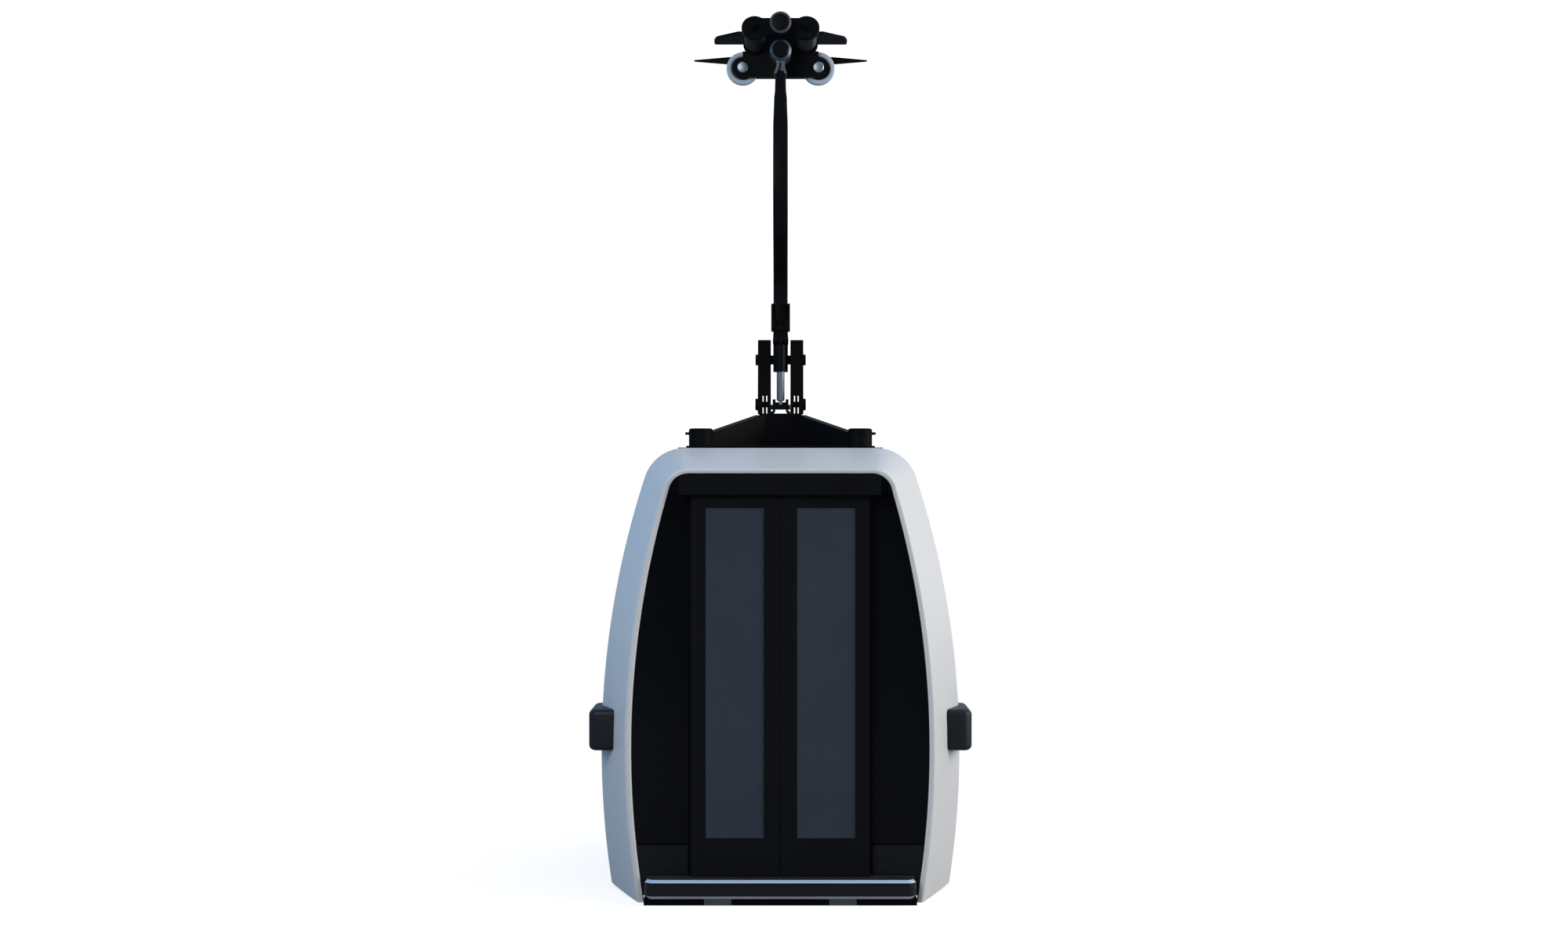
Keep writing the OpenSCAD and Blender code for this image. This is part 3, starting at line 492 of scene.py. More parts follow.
def outline(f, inset=0.0, low=0.0, whole=True, low_cut=None, high_cut=None):
    """Bowed outline at share f of the way from the shell to the opening, in X and height."""
    half = mix(*HALF, f) - inset
    top = mix(*TOP, f) - inset
    r = mix(*CORNER, f) - inset
    widest = mix(*WIDEST, f)
    bow = BOW - inset
    roof_a = math.asin((top - r - widest) / (bow - r))
    start = math.asin(((low if low_cut is None else low_cut) - widest) / bow)
    stop = roof_a if high_cut is None else math.asin((high_cut - widest) / bow)
    side = [(half - bow + bow * math.cos(a), widest + bow * math.sin(a))
            for a in (mix(start, stop, i / FINE) for i in range(FINE + 1))]
    if high_cut is not None:
        return side
    corner_x = half - bow + (bow - r) * math.cos(roof_a)
    corner = [(corner_x + r * math.cos(a), top - r + r * math.sin(a))
              for a in (mix(roof_a, math.pi / 2, i / CURVE) for i in range(1, CURVE + 1))]
    right = side + corner
    return right + [(-x, z) for x, z in reversed(right)] if whole else right


def rounded_corner(before, corner, after, steps=5):
    """Points of a curve that leaves from before, turns at corner and ends at after."""
    points = []
    for i in range(steps + 1):
        t = i / steps
        points.append(tuple(
            a * (1 - t) ** 2 + 2 * c * t * (1 - t) + b * t * t
            for a, c, b in zip(before, corner, after)))
    return points


def portal_profile():
    """(share, inset, depth, base height) from the seam, over the ridge and back inside."""
    steps = 26
    outer = []
    inner = []
    for i in range(steps + 1):
        t = i / steps
        rise = BASE_RISE * (1 - t)
        outer.append((bezier(TAPER_F, t), 0.0, bezier(TAPER_Y, t), rise))
        inner.append((bezier(TAPER_F, t), WALL * (1 - t / 2),
                      bezier(TAPER_Y, t) - LIP * t * t, rise))
    outer[0] = (0.0, SEAM, MID_HALF + SEAM, BASE_RISE)
    outer.insert(1, (0.0, 0.0, MID_HALF + 2 * SEAM, BASE_RISE))
    ridge = outer.pop()
    top = rounded_corner((0.825, 0, RIDGE_Y - 0.007, 0), (ridge[0], 0, RIDGE_Y - 0.0004, 0),
                         (0.895, 0, RIDGE_Y - 0.0004, 0))
    lip = rounded_corner((0.968, 0, RIDGE_Y - 0.001, 0), (1.0, 0, RIDGE_Y - 0.0012, 0),
                         (1.0, 0, RIDGE_Y - 0.011, 0))
    back = [(1.0, 0.0, RIDGE_Y - LIP, 0.0), (0.92, 0.008, RIDGE_Y - LIP, 0.0)]
    start = len(outer) - 1 + len(top)
    return outer[:-1] + top + lip + back + list(reversed(inner)), range(start, start + len(lip))


def portal(name, facing, node):
    profile, lip = portal_profile()
    bm = bmesh.new()
    rows = [[bm.verts.new((x, facing * y, z + BASE)) for x, z in outline(f, inset, low)]
            for f, inset, y, low in profile]
    across = len(rows[0])
    for k, (row, following) in enumerate(zip(rows, rows[1:] + rows[:1])):
        for i in range(across - 1):
            face = bm.faces.new((row[i], row[i + 1], following[i + 1], following[i]))
            # Faces of the lip rows take the brighter white, a painted highlight.
            face.material_index = 1 if k in lip else 0
    for end in (0, across - 1):
        bm.faces.new([row[end] for row in rows])
    obj = from_bmesh(name, bm, SHELL, 40)
    obj.data.materials.append(SHELL_LIP_HIGHLIGHT)
    return stand_in(obj, node)


def bowed_sheet(bm, outer, inner, y0, y1, soften=0.0025):
    """A curved sheet between two outlines of X and height, straight across the cabin."""
    part = bmesh.new()
    prism(part, [(x, z + BASE) for x, z in outer + list(reversed(inner))], "y", y0, y1)
    round_edges(part, soften, 3)
    spare = bpy.data.meshes.new("spare")
    part.to_mesh(spare)
    part.free()
    bm.from_mesh(spare)
    bpy.data.meshes.remove(spare)


def mirrored(points):
    return [(-x, z) for x, z in points]


def end_sheets(bm, inset, depth, low, high, y0, y1, soften=0.0025):
    """The same bowed sheet at both ends of the cabin."""
    outer = outline(0, inset, low_cut=low, high_cut=high)
    inner = outline(0, inset + depth, low_cut=low, high_cut=high)
    bowed_sheet(bm, outer, inner, y0, y1, soften)
    bowed_sheet(bm, mirrored(outer), mirrored(inner), y0, y1, soften)


def roof_and_ends():
    edge = MID_HALF - SEAM
    bm = bmesh.new()
    right = outline(0, 0, low_cut=EAVE + SEAM, whole=False)
    right_in = outline(0, WALL, low_cut=EAVE + SEAM, whole=False)
    bowed_sheet(bm, right + list(reversed(mirrored(right))),
                right_in + list(reversed(mirrored(right_in))), -edge, edge)
    stand_in(from_bmesh("shell_roof", bm, SHELL, 40), "roof_shell")

    bm = bmesh.new()
    end_sheets(bm, 0, WALL, BASE_RISE, BELT - SEAM, -edge, edge)
    stand_in(from_bmesh("shell_ends", bm, SHELL, 40), "end_panels")

    bm = bmesh.new()
    end_sheets(bm, 0.003, 0.008, BELT + 0.001, EAVE - 0.001, -edge, edge, 0.001)
    stand_in(from_bmesh("end_windows", bm, END_GLASS, 40), "windscreens")

    band = 0.020
    bm = bmesh.new()
    end_sheets(bm, 0.0012, 0.014, BELT + 0.0005, BELT + band, -edge, edge, 0.001)
    end_sheets(bm, 0.0012, 0.014, EAVE - band, EAVE - 0.0005, -edge, edge, 0.001)
    for y0, y1 in ((-edge, band - edge), (edge - band, edge)):
        end_sheets(bm, 0.0012, 0.014, BELT + band, EAVE - band, y0, y1, 0.001)
    join_detail(from_bmesh("end_window_gaskets", bm, RUBBER, 40), "bumpers")


# ---------------------------------------------------------------- doors, glass and step


def gasket(bm, x0, x1, z0, z1, r, width, y0, y1):
    ring_prism(bm, rounded_outline(x0, x1, z0, z1, r), rounded_outline(
        x0 + width, x1 - width, z0 + width, z1 - width, max(0.002, r - width)), "y", y0, y1)


def door_gaskets():
    """Rubber profile round the glass of each leaf."""
    for side in ("left", "right"):
        low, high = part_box(side + "_door_glass")
        bm = bmesh.new()
        gasket(bm, low.x - 0.001, high.x + 0.001, low.z - 0.001, high.z + 0.001, 0.007, 0.0035,
               low.y - 0.0045, low.y + 0.002)
        round_edges(bm, 0.0008, 2)
        seal = join_detail(from_bmesh(side + "_glass_gasket", bm, RUBBER), side + "_door_glass")


def meeting_seals():
    """Soft noses that close the gap between the seals of the two leaves."""
    middle = (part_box("left_door_frame")[1].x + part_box("right_door_frame")[0].x) / 2
    for side, sign in (("left", -1), ("right", 1)):
        node = side + "_door_frame"
        edge = [v.co for v in NODES[node].data.vertices if abs(v.co.x - middle) < 0.003]
        y0, y1 = min(c.y for c in edge), max(c.y for c in edge)
        z0, z1 = min(c.z for c in edge), max(c.z for c in edge)
        x0, x1 = sorted((middle + sign * 0.0030, middle + sign * 0.0001))
        bm = bmesh.new()
        block(bm, (x0, y0 + 0.003, z0), (x1, y1 - 0.003, z1))
        nose = join_detail(from_bmesh(side + "_door_nose", bm, RUBBER), node)


def step():
    """Bumper rail under the doors: a rounded plan with a bevel along its top and bottom."""
    low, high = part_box("step_rail")
    tall = high.z - low.z
    levels = [(0.0, 0.0158), (0.0006, 0.0146), (0.0146, 0.0006), (0.0170, 0.0),
              (tall - 0.0160, 0.0), (tall - 0.0136, 0.0006), (tall - 0.0006, 0.0136),
              (tall, 0.0150)]
    bm = bmesh.new()
    rows = []
    for height, inset in levels:
        plan = front_rounded(low.x + inset, high.x - inset, low.y + inset, high.y, 0.046 - inset)
        rows.append([bm.verts.new((x, y, low.z + height)) for x, y in plan])
    for a, b in zip(rows, rows[1:]):
        for i in range(len(a)):
            j = (i + 1) % len(a)
            bm.faces.new((a[i], a[j], b[j], b[i]))
    bm.faces.new(list(reversed(rows[0])))
    bm.faces.new(rows[-1])
    rail = stand_in(from_bmesh("step_bumper", bm, GLOSS, 22), "step_rail")
    rail.data.materials.append(RAIL_SKY_REFLECTION)
    rail.data.materials.append(RAIL_FLOOR_REFLECTION)
    # Top chamfer faces take the painted sky reflection, bottom chamfer faces the painted floor
    # reflection.
    for face in rail.data.polygons:
        if 0.3 < abs(face.normal.z) < 0.95 and face.center.y < low.y + 0.05:
            face.material_index = 1 if face.normal.z > 0 else 2


def front_rounded(x0, x1, y0, y1, r, steps=12):
    """Rectangle whose two corners on the low Y side are round."""
    points = [(x1, y1), (x0, y1)]
    for cx, start in ((x0 + r, 180), (x1 - r, 270)):
        for i in range(steps + 1):
            a = math.radians(start + 90 * i / steps)
            points.append((cx + r * math.cos(a), y0 + r + r * math.sin(a)))
    return points


def roof_seal():
    """Rubber strip along the front and back of the roof plate, under the frame."""
    low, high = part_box("roof_plate")
    bm = bmesh.new()
    for y in (low.y + 0.004, high.y - 0.014):
        block(bm, (-0.34, y, high.z - 0.009), (0.34, y + 0.010, high.z - 0.0005))
    round_edges(bm, 0.002, 2)
    seal = join_detail(from_bmesh("roof_seal", bm, RUBBER), "roof_plate")


def corner_bumpers():
    """Four moulded pads that wrap the widest corners of the shell."""
    low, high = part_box("bumpers")
    top, bottom = high.z - BASE, low.z - BASE
    rim = 0.027
    heights = []
    for i in range(9):
        a = math.pi / 2 * i / 8
        heights.append((bottom + rim * (1 - math.cos(a)), rim * (1 - math.sin(a))))
    heights += [(bottom + top - z, inset) for z, inset in reversed(heights)]
    y_far, y_near = 0.660, 0.300
    bm = bmesh.new()
    for sx in (-1, 1):
        for sy in (-1, 1):
            rows = []
            for z, inset in heights:
                plan = bumper_plan(high.x - inset, y_near + inset, y_far - inset, 0.046 - inset, z)
                rows.append([bm.verts.new((sx * x, sy * y, z + BASE)) for x, y in plan])
            for a, b in zip(rows, rows[1:]):
                for i in range(len(a)):
                    j = (i + 1) % len(a)
                    bm.faces.new((a[i], a[j], b[j], b[i]))
            bm.faces.new(rows[0])
            bm.faces.new(rows[-1])
    stand_in(from_bmesh("corner_bumpers", bm, PAD, 50), "bumpers")


def bumper_plan(x_out, y0, y1, r, z):
    """Plan of a bumper: two round outer corners, and an inner side sunk in the shell."""
    sunk = 0.010
    points = []
    for cy, start in ((y0 + r, -90), (y1 - r, 0)):
        for i in range(9):
            a = math.radians(start + 90 * i / 8)
            points.append((x_out - r + r * math.cos(a), cy + r * math.sin(a)))
    for i in range(11):
        y = mix(y1, y0, i / 10)
        points.append((shell_x(y, z) - sunk, y))
    return points


def shell_x(y, z):
    """Outside of the shell at a distance y from the middle and a height z."""
    t = 0.0
    if y > MID_HALF:
        below, above = 0.0, 1.0
        for _ in range(24):
            t = (below + above) / 2
            if bezier(TAPER_Y, t) < y:
                below = t
            else:
                above = t
    f = bezier(TAPER_F, t)
    widest = mix(*WIDEST, f)
    return mix(*HALF, f) - BOW + math.sqrt(BOW ** 2 - (z - widest) ** 2)


# ---------------------------------------------------------------- hanger arm

ARM_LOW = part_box("hanger_arm")[0].z
ARM_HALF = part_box("hanger_arm")[1].x
ARM_STEPS = 44
BEND = -0.450
ARM_UPPER = ((-0.262, -0.118), (-0.296, -0.250), (BEND, -0.420), (BEND, -0.700))
ARM_LOWER = ((BEND, -0.700), (BEND, -0.985), (0.0, -1.000), (0.0, -1.250))
ARM_DEEP = (0.115, 0.128, 0.090)
ARM_FRONT = ((-0.118, 0.026), (-0.220, 0.028), (-0.285, 0.033), (-0.435, ARM_HALF),
             (ARM_LOW, ARM_HALF))


def along(table, z):
    """Value at height z in a list of (height, value) that goes down."""
    for (z0, v0), (z1, v1) in zip(table, table[1:]):
        if z >= z1:
            t = min(1.0, max(0.0, (z0 - z) / (z0 - z1)))
            return mix(v0, v1, t * t * (3 - 2 * t))
    return table[-1][1]


def arm_stations():
    """(middle point, direction, depth) down the arm."""
    stations = []
    for path, d0, d1 in ((ARM_UPPER, ARM_DEEP[0], ARM_DEEP[1]),
                         (ARM_LOWER, ARM_DEEP[1], ARM_DEEP[2])):
        for i in range(ARM_STEPS + 1):
            t = i / ARM_STEPS
            point = Vector((0, bezier([p[0] for p in path], t), bezier([p[1] for p in path], t)))
            stations.append([point, mix(d0, d1, t)])
        if path is ARM_UPPER:
            stations.pop()
    stations.append([Vector((0, 0, ARM_LOW)), ARM_DEEP[2]])
    for i, station in enumerate(stations):
        ahead = stations[min(i + 1, len(stations) - 1)][0] - stations[max(i - 1, 0)][0]
        station.append(ahead.normalized())
    return stations


def hanger_arm():
    bm = bmesh.new()
    rows = []
    for point, deep, ahead in arm_stations():
        half = along(ARM_FRONT, point.z)
        back = Vector((0, -ahead.z, ahead.y))
        section = rounded_outline(-half, half, -deep / 2, deep / 2, min(0.011, half * 0.4), 4)
        rows.append([bm.verts.new(point + Vector((x, 0, 0)) + d * back) for x, d in section])
    for a, b in zip(rows, rows[1:]):
        for i in range(len(a)):
            j = (i + 1) % len(a)
            bm.faces.new((a[i], a[j], b[j], b[i]))
    bm.faces.new(rows[0])
    bm.faces.new(list(reversed(rows[-1])))
    stand_in(from_bmesh("bowed_arm", bm, BLACK, 60), "hanger_arm")


# ---------------------------------------------------------------- grip

WHEEL_Z = -0.059
WHEEL_X = 0.195
WHEEL_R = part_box("right_wheel_tyre")[1].x - WHEEL_X
DRAW = math.radians(20)
DRAW_START = Vector((0, -0.300, 0.115))
DRAW_DIR = Vector((0, math.cos(DRAW), -math.sin(DRAW)))
SPRING_X = 0.132


def wheels():
    y0, y1 = (c.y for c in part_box("right_wheel_tyre"))
    width = y1 - y0
    for side, sign in (("left", -1), ("right", 1)):
        centre = (sign * WHEEL_X, y0, WHEEL_Z)
        tyre = [(0.060, 0.004), (0.0645, 0.0006), (0.068, 0.0), (WHEEL_R - 0.008, 0.0)]
        tyre += [(r, a) for r, a in rounded_corner(
            (WHEEL_R - 0.008, 0.0), (WHEEL_R, 0.0), (WHEEL_R, 0.008), 5)][1:]
        tyre += [(WHEEL_R - 0.0012, width / 2)]
        tyre += [(r, width - a) for r, a in reversed(tyre[:-1])]
        bm = bmesh.new()
        lathe(bm, tyre + tyre[:1], centre, (0, 1, 0), 128)
        bmesh.ops.remove_doubles(bm, verts=bm.verts, dist=1e-6)
        stand_in(from_bmesh(side + "_tyre", bm, TYRE, 35), side + "_wheel_tyre")

        half = [(0.0141, 0.0), (0.022, 0.0), (0.0255, 0.0015), (0.030, 0.009), (0.0335, 0.0115),
                (0.044, 0.0125), (0.0485, 0.0105), (0.0525, 0.005), (0.060, 0.0045)]
        hub = half + [(r, width - a) for r, a in reversed(half)]
        bm = bmesh.new()
        lathe(bm, hub + hub[:1], centre, (0, 1, 0), 96)
        bmesh.ops.remove_doubles(bm, verts=bm.verts, dist=1e-6)
        stand_in(from_bmesh(side + "_hub", bm, ZINC, 35), side + "_wheel_hub")


def axle_caps():
    """Stepped and chamfered cap on the end of each axle, with the axle behind it."""
    low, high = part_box("wheel_axles")
    profile = [(0.0, 0.0), (0.0225, 0.0), (0.0245, 0.0008), (0.028, 0.0045), (0.028, 0.0125),
               (0.0265, 0.014), (0.020, 0.014), (0.020, 0.037), (0.014, 0.037), (0.014, 0.081),
               (0.020, 0.081), (0.020, 0.123), (0.021, 0.124),
               (0.021, high.y - low.y - 0.002), (0.019, high.y - low.y), (0.0, high.y - low.y)]
    bm = bmesh.new()
    for sign in (-1, 1):
        lathe(bm, profile, (sign * WHEEL_X, low.y, WHEEL_Z), (0, 1, 0), 72)
    stand_in(from_bmesh("axle_caps", bm, BRIGHT, 30), "wheel_axles")


def round_caps():
    """Pivot shaft with its domed cap, and the release roller."""
    low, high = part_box("pivot_shaft")
    long = high.y - low.y
    bm = bmesh.new()
    lathe(bm, [(0.0, 0.0), (0.0335, 0.0), (0.0345, 0.0006), (0.0415, 0.0062), (0.042, 0.0075),
               (0.042, 0.012), (0.025, 0.012), (0.025, long - 0.002), (0.023, long), (0.0, long)],
          (0, low.y, 0), (0, 1, 0), 96)
    stand_in(from_bmesh("pivot_shaft_cap", bm, BLACK, 30), "pivot_shaft")

    low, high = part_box("release_roller")
    r = (high.x - low.x) / 2
    wide = high.y - low.y
    profile = [(0.0, 0.0), (r - 0.0118, 0.0), (r - 0.0106, 0.0006), (r - 0.0006, 0.0084),
               (r, 0.0100), (r, wide - 0.006), (r - 0.0015, wide - 0.002), (r - 0.006, wide),
               (0.0142, wide), (0.0142, 0.008), (0.0, 0.008)]
    bm = bmesh.new()
    lathe(bm, profile, (0, low.y, (low.z + high.z) / 2), (0, 1, 0), 96)
    bmesh.ops.remove_doubles(bm, verts=bm.verts, dist=1e-6)
    tread_ring = stand_in(from_bmesh("release_roller_tread", bm, PLASTIC, 30), "release_roller")
    # The front chamfer faces take the painted highlight colour.
    tread_ring.data.materials.append(EDGE_HIGHLIGHT)
    for face in tread_ring.data.polygons:
        if 0.3 < -face.normal.y < 0.95:
            face.material_index = 1


def grip_springs():
    """Wound wire at an even pitch, with a guide inside each coil."""
    turns, wire, radius = 9, 0.0072, 0.0455
    start, stop = 0.009, 0.149
    per_turn = 40
    for side, sign in (("left", -1), ("right", 1)):
        path = []
        count = turns * per_turn
        up = DRAW_DIR.cross(Vector((1, 0, 0))).normalized()
        for i in range(count + 1):
            a = 2 * math.pi * i / per_turn
            place = mix(start + wire, stop - wire, i / count)
            centre = DRAW_START + Vector((sign * SPRING_X, 0, 0)) + DRAW_DIR * place
            path.append(centre + radius * (
                math.cos(a) * Vector((1, 0, 0)) + sign * math.sin(a) * up))
        bm = bmesh.new()
        sweep(bm, path, wire, 12)
        coil = from_bmesh(side + "_grip_coil", bm, SPRING, 50)
        stand_in(coil, "spring_" + side)
        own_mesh(coil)

        bm = bmesh.new()
        lathe(bm, [(0.0112, 0.062), (0.030, 0.062), (0.032, 0.064), (0.032, 0.149), (0.0112, 0.149),
                   (0.0112, 0.062)],
              DRAW_START + Vector((sign * SPRING_X, 0, 0)), DRAW_DIR, 48)
        bmesh.ops.remove_doubles(bm, verts=bm.verts, dist=1e-6)
        guide = from_bmesh(side + "_spring_guide", bm, ZINC)
        join_detail(guide, "spring_" + side)


def damper_chrome():
    """Rod with a stepped lower end and its eye."""
    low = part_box("damper_rod")[0]
    eye = Vector((0, -0.075, low.z + 0.020))
    top = Vector((0, -0.085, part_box("damper_barrel")[1].z - 0.020))
    up = (top - eye).normalized()
    reach = (top - eye).length - 0.112
    bm = bmesh.new()
    lathe(bm, [(0.0, 0.015), (0.0135, 0.015), (0.0185, 0.019), (0.0205, 0.023),
               (0.0205, reach - 0.002), (0.0185, reach), (0.0, reach)],
          eye, up, 64)
    ring = [(0.0122, -0.009), (0.0185, -0.009), (0.020, -0.0075), (0.020, 0.0075), (0.0185, 0.009),
            (0.0122, 0.009)]
    lathe(bm, ring + ring[:1], eye, (1, 0, 0), 64)
    bmesh.ops.remove_doubles(bm, verts=bm.verts, dist=1e-6)
    stand_in(from_bmesh("damper_chrome", bm, CHROME, 35), "damper_rod")


# ---------------------------------------------------------------- upholstery


def pad_shape(size, r_plan, crown):
    """A closed cushion form round the origin; crown lifts the middle of its +Z side."""
    hx, hy, hz = (s / 2 for s in size)
    bm = bmesh.new()
    prism(bm, rounded_outline(-hx, hx, -hy, hy, r_plan, 8), "z", -hz, hz)
    round_edges(bm, min(0.020, hz * 0.6), 4)
    mesh = bpy.data.meshes.new("pad")
    bmesh.ops.recalc_face_normals(bm, faces=bm.faces)
    bm.to_mesh(mesh)
    bm.free()
    obj = bpy.data.objects.new("pad", mesh)
    bpy.context.scene.collection.objects.link(obj)
    remesh = obj.modifiers.new("remesh", "REMESH")
    remesh.mode = "VOXEL"
    remesh.voxel_size = 0.0075
    apply_modifiers(obj)
    for v in obj.data.vertices:
        if v.co.z > 0:
            lift = (1 - (v.co.x / hx) ** 2) * (1 - (v.co.y / hy) ** 2)
            v.co.z += crown * max(0.0, lift) * (v.co.z / hz)
    return obj


def apply_modifiers(obj):
    graph = bpy.context.evaluated_depsgraph_get()
    made = bpy.data.meshes.new_from_object(obj.evaluated_get(graph))
    obj.modifiers.clear()
    obj.data = made


def inflate(obj, cap):
    """Blows the pad up as cloth, and lets no point move further than cap."""
    scene = bpy.context.scene
    rest = [v.co.copy() for v in obj.data.vertices]
    cloth = obj.modifiers.new("cloth", "CLOTH")
    cloth.settings.use_pressure = True
    cloth.settings.uniform_pressure_force = 4.0
    cloth.settings.quality = 5
    cloth.settings.mass = 0.35
    cloth.settings.tension_stiffness = 22
    cloth.settings.compression_stiffness = 22
    cloth.settings.shear_stiffness = 8
    cloth.settings.bending_stiffness = 2.5
    cloth.settings.effector_weights.gravity = 0.0
    cloth.collision_settings.use_self_collision = False
    cloth.point_cache.frame_start = 1
    cloth.point_cache.frame_end = 20
    for step_frame in range(1, 21):
        scene.frame_set(step_frame)
    apply_modifiers(obj)
    scene.frame_set(1)
    for v, was in zip(obj.data.vertices, rest):
        move = v.co - was
        if move.length > cap:
            v.co = was + move.normalized() * cap


def sew(obj, size, lines, border, depth=0.007):
    """Presses sewn lines across the pad, and a seam round its top, then smooths once."""
    hx, hy, hz = (s / 2 for s in size)
    fine = obj.modifiers.new("fine", "SUBSURF")
    fine.levels = fine.render_levels = 1
    apply_modifiers(obj)
    for v in obj.data.vertices:
        press = 0.0
        for y in lines:
            press = max(press, math.exp(-((v.co.y - y) / 0.006) ** 2))
        edge = min(hx - abs(v.co.x), hy - abs(v.co.y))
        if v.co.z > 0:
            press = max(press, 0.75 * math.exp(-((edge - border) / 0.005) ** 2))
            v.co.z -= depth * press
        elif abs(v.co.z) < hz * 0.9:
            v.co.x -= math.copysign(depth * 0.3 * press, v.co.x)


def settle(obj, low, high):
    """Scales a pad down where it came out larger than its place, and puts it there."""
    co = [v.co for v in obj.data.vertices]
    least = Vector([min(c[i] for c in co) for i in range(3)])
    most = Vector([max(c[i] for c in co) for i in range(3)])
    for v in obj.data.vertices:
        for i in range(3):
            share = (v.co[i] - least[i]) / (most[i] - least[i])
            v.co[i] = mix(low[i], high[i], share)


def cushion(name, node, size, place, tilt, lines, border, crown):
    """Simulates one pad, then stands a copy of it at each end of the cabin."""
    pad = pad_shape([s - 0.012 for s in size], 0.045, crown)
    inflate(pad, 0.014)
    sew(pad, size, lines, border)
    settle(pad, [-s / 2 for s in size], [s / 2 for s in size])
    for side, sign in (("left", -1), ("right", 1)):
        mesh = pad.data.copy()
        for v in mesh.vertices:
            x, y, z = v.co
            if tilt:
                x, y, z = place[0] - z, y, place[2] + x
            else:
                x, y, z = place[0] + x, y, place[2] + z
            v.co = (sign * x, y, z)
        if (sign < 0) != tilt:
            mesh.flip_normals()
        obj = finish_mesh(side + "_" + name, mesh, SEAT, 70)
        stand_in(obj, node)
    bpy.data.objects.remove(pad)


def upholstery():
    low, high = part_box("seat_cushions")
    inner = 0.425
    size = (high.x - inner, high.y - low.y, high.z - low.z)
    place = ((high.x + inner) / 2, 0, (high.z + low.z) / 2)
    lines = (-0.192, 0.192)
    cushion("seat_cushion", "seat_cushions", size, place, False, lines, 0.030, 0.010)
    low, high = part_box("backrests")
    inner = 0.768
    size = (high.z - low.z, high.y - low.y, high.x - inner)
    place = ((high.x + inner) / 2, 0, (high.z + low.z) / 2)
    cushion("backrest", "backrests", size, place, True, lines, 0.030, 0.008)


# ---------------------------------------------------------------- stage, light and camera


def floor():
    """Pale floor that turns into plain white away from the object."""
    mat, nodes, links, bsdf = new_material("studio_floor")
    vector = coords(nodes, links)
    drift = noise(nodes, links, vector, 0.6, 3.0)
    links.new(ramp(nodes, links, drift, [(0.3, (0.50, 0.48, 0.45)), (0.7, (0.53, 0.51, 0.48))]),
              bsdf.inputs["Base Color"])
    bsdf.inputs["Roughness"].default_value = 0.9
    bsdf.inputs["Specular IOR Level"].default_value = 0.1
    bsdf.inputs["Emission Color"].default_value = (1, 1, 1, 1)
    bsdf.inputs["Emission Strength"].default_value = 0.72
    reach = nodes.new("ShaderNodeVectorMath")
    reach.operation = "LENGTH"
    links.new(coords(nodes, links, (1, 1, 0)), reach.inputs[0])
    fade = nodes.new("ShaderNodeMapRange")
    fade.interpolation_type = "SMOOTHSTEP"
    fade.inputs["From Min"].default_value = 0.7
    fade.inputs["From Max"].default_value = 1.9
    links.new(reach.outputs["Value"], fade.inputs["Value"])
    white = nodes.new("ShaderNodeEmission")
    white.inputs["Strength"].default_value = 1.0
    seen = nodes.new("ShaderNodeMixShader")
    links.new(fade.outputs["Result"], seen.inputs["Fac"])
    links.new(bsdf.outputs[0], seen.inputs[1])
    links.new(white.outputs[0], seen.inputs[2])
    dim = nodes.new("ShaderNodeBsdfDiffuse")
    links.new(ramp(nodes, links, drift, [(0.3, grey(0.26)), (0.7, grey(0.30))]),
              dim.inputs["Color"])
    ray = nodes.new("ShaderNodeLightPath")
    choose = nodes.new("ShaderNodeMixShader")
    links.new(ray.outputs["Is Camera Ray"], choose.inputs["Fac"])
    links.new(dim.outputs[0], choose.inputs[1])
    links.new(seen.outputs[0], choose.inputs[2])
    links.new(choose.outputs[0], nodes["Material Output"].inputs["Surface"])
    bm = bmesh.new()
    half, sink = 60.0, 0.02
    block(bm, (-half, -half, BASE - sink), (half, half, BASE))
    from_bmesh("studio_floor", bm, mat)


def multiply(nodes, links, a, b):
    node = nodes.new("ShaderNodeMix")
    node.data_type = "RGBA"
    node.blend_type = "MULTIPLY"
    node.inputs["Factor"].default_value = 1.0
    links.new(a, node.inputs["A"])
    links.new(b, node.inputs["B"])
    return node.outputs["Result"]


def across_dome(nodes, links, value, stops):
    """Colours along one axis of the dome, from -1 to 1."""
    shift = nodes.new("ShaderNodeMapRange")
    shift.inputs["From Min"].default_value = -1.0
    shift.inputs["From Max"].default_value = 1.0
    links.new(value, shift.inputs["Value"])
    return ramp(nodes, links, shift.outputs["Result"], stops)


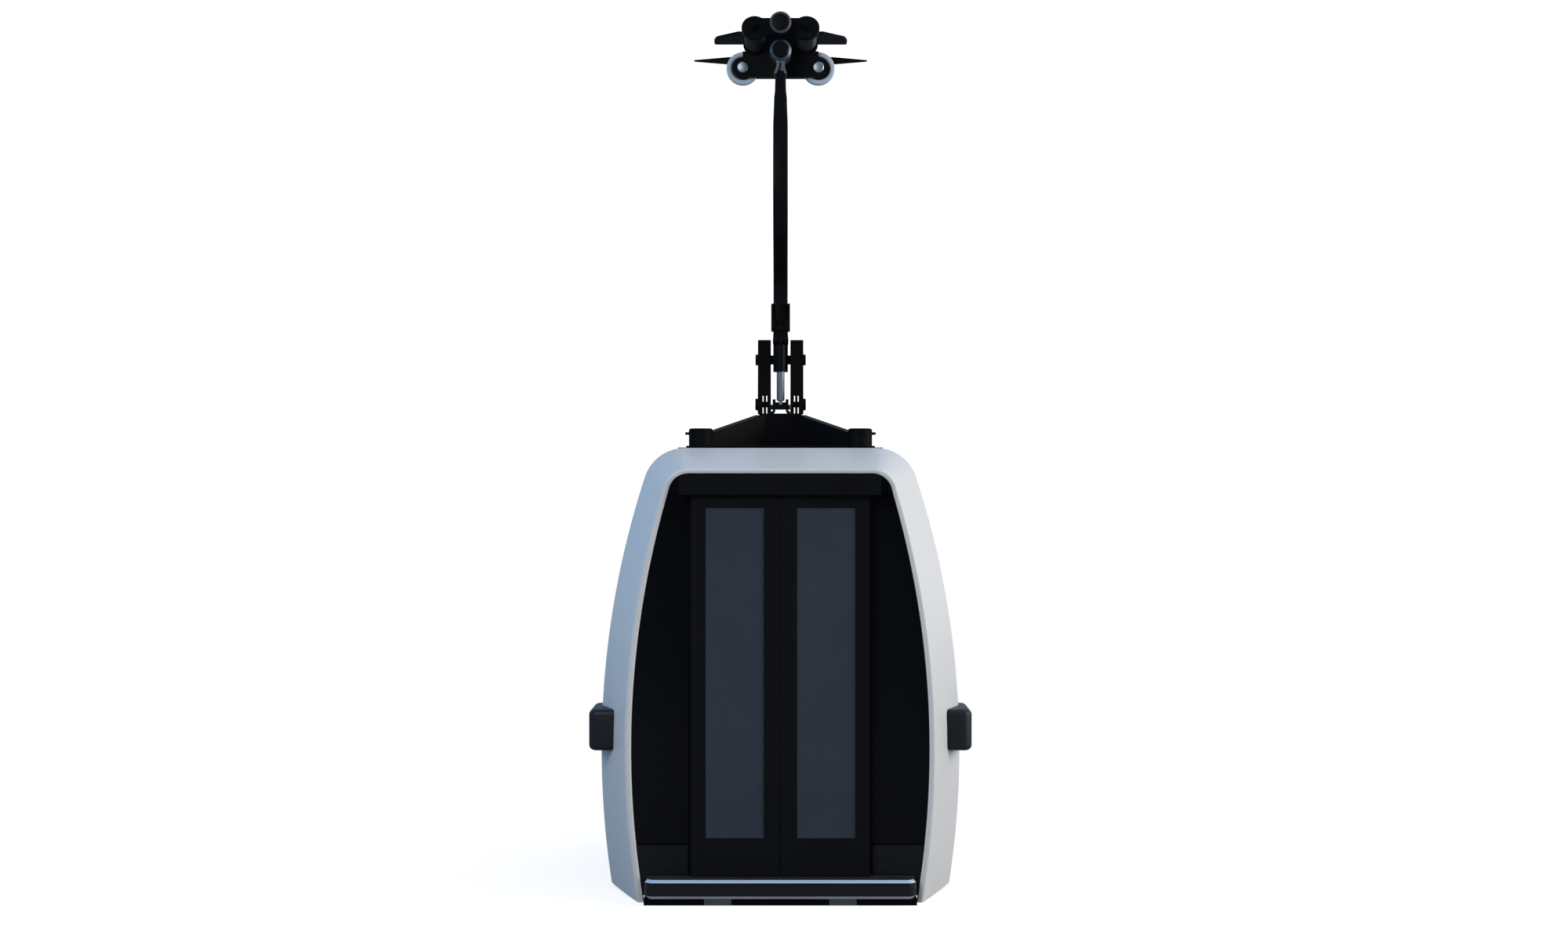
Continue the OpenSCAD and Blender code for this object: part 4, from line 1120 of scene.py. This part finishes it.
def world():
    """White to the camera; for light, a dome: blue left, white right, dark behind the camera."""
    sky = bpy.data.worlds.new("studio")
    sky.use_nodes = True
    bpy.context.scene.world = sky
    nodes, links = sky.node_tree.nodes, sky.node_tree.links
    nodes.clear()
    texture = nodes.new("ShaderNodeTexCoord")
    split = nodes.new("ShaderNodeSeparateXYZ")
    links.new(texture.outputs["Generated"], split.inputs[0])
    height = across_dome(nodes, links, split.outputs["Z"], [
        (0.0, (1.05, 1.02, 0.98)), (0.5, (0.97, 0.97, 0.97)), (1.0, (0.60, 0.70, 0.83))])
    side = across_dome(nodes, links, split.outputs["X"], [
        (0.0, (0.10, 0.42, 0.80)), (0.5, (0.40, 0.47, 0.55)), (1.0, (1.10, 1.08, 1.05))])
    front = across_dome(nodes, links, split.outputs["Y"], [
        (0.0, grey(0.04)), (0.08, grey(0.10)), (0.3, grey(0.9)), (0.5, grey(1.0))])
    colour = multiply(nodes, links, multiply(nodes, links, height, side), front)
    ray = nodes.new("ShaderNodeLightPath")
    dome = nodes.new("ShaderNodeBackground")
    dome.inputs["Strength"].default_value = 1.0
    links.new(colour, dome.inputs["Color"])
    plain = nodes.new("ShaderNodeBackground")
    plain.inputs["Color"].default_value = (1, 1, 1, 1)
    plain.inputs["Strength"].default_value = 1.05
    choose = nodes.new("ShaderNodeMixShader")
    links.new(ray.outputs["Is Camera Ray"], choose.inputs["Fac"])
    links.new(dome.outputs[0], choose.inputs[1])
    links.new(plain.outputs[0], choose.inputs[2])
    out = nodes.new("ShaderNodeOutputWorld")
    links.new(choose.outputs[0], out.inputs["Surface"])


def soft_light(name, place, aim, size, power, colour):
    data = bpy.data.lights.new(name, "AREA")
    data.shape = "RECTANGLE"
    data.size, data.size_y = size
    data.energy = power
    data.color = colour
    obj = bpy.data.objects.new(name, data)
    bpy.context.scene.collection.objects.link(obj)
    obj.location = place
    obj.rotation_euler = (Vector(aim) - Vector(place)).to_track_quat("-Z", "Y").to_euler()
    obj.visible_camera = False


def camera():
    """Level, a little above the middle of the cabin, facing the doors."""
    data = bpy.data.cameras.new("camera")
    data.lens = 50.08
    data.sensor_width = 36.0
    obj = bpy.data.objects.new("camera", data)
    bpy.context.scene.collection.objects.link(obj)
    obj.location = (0.0177, -11.39, BASE + 2.087)
    obj.rotation_euler = (math.pi / 2, 0, 0)
    bpy.context.scene.camera = obj


camera()
portal("shell_front", -1, "front_portal")
portal("shell_rear", 1, "rear_portal")
roof_and_ends()
door_gaskets()
meeting_seals()
step()
roof_seal()
corner_bumpers()
hanger_arm()
wheels()
axle_caps()
round_caps()
grip_springs()
damper_chrome()
upholstery()
dress_cad_parts()
floor()
world()
soft_light("right_key", (7.5, -2.4, -0.6), (0.6, -0.7, -3.2), (4.0, 5.0), 360, (1.0, 0.95, 0.90))
soft_light("front_key", (-3.9, -7.4, 1.2), (0.0, -0.8, -3.2), (4.0, 4.0), 300, (1.0, 0.98, 0.96))
bpy.context.scene.view_settings.view_transform = "Standard"
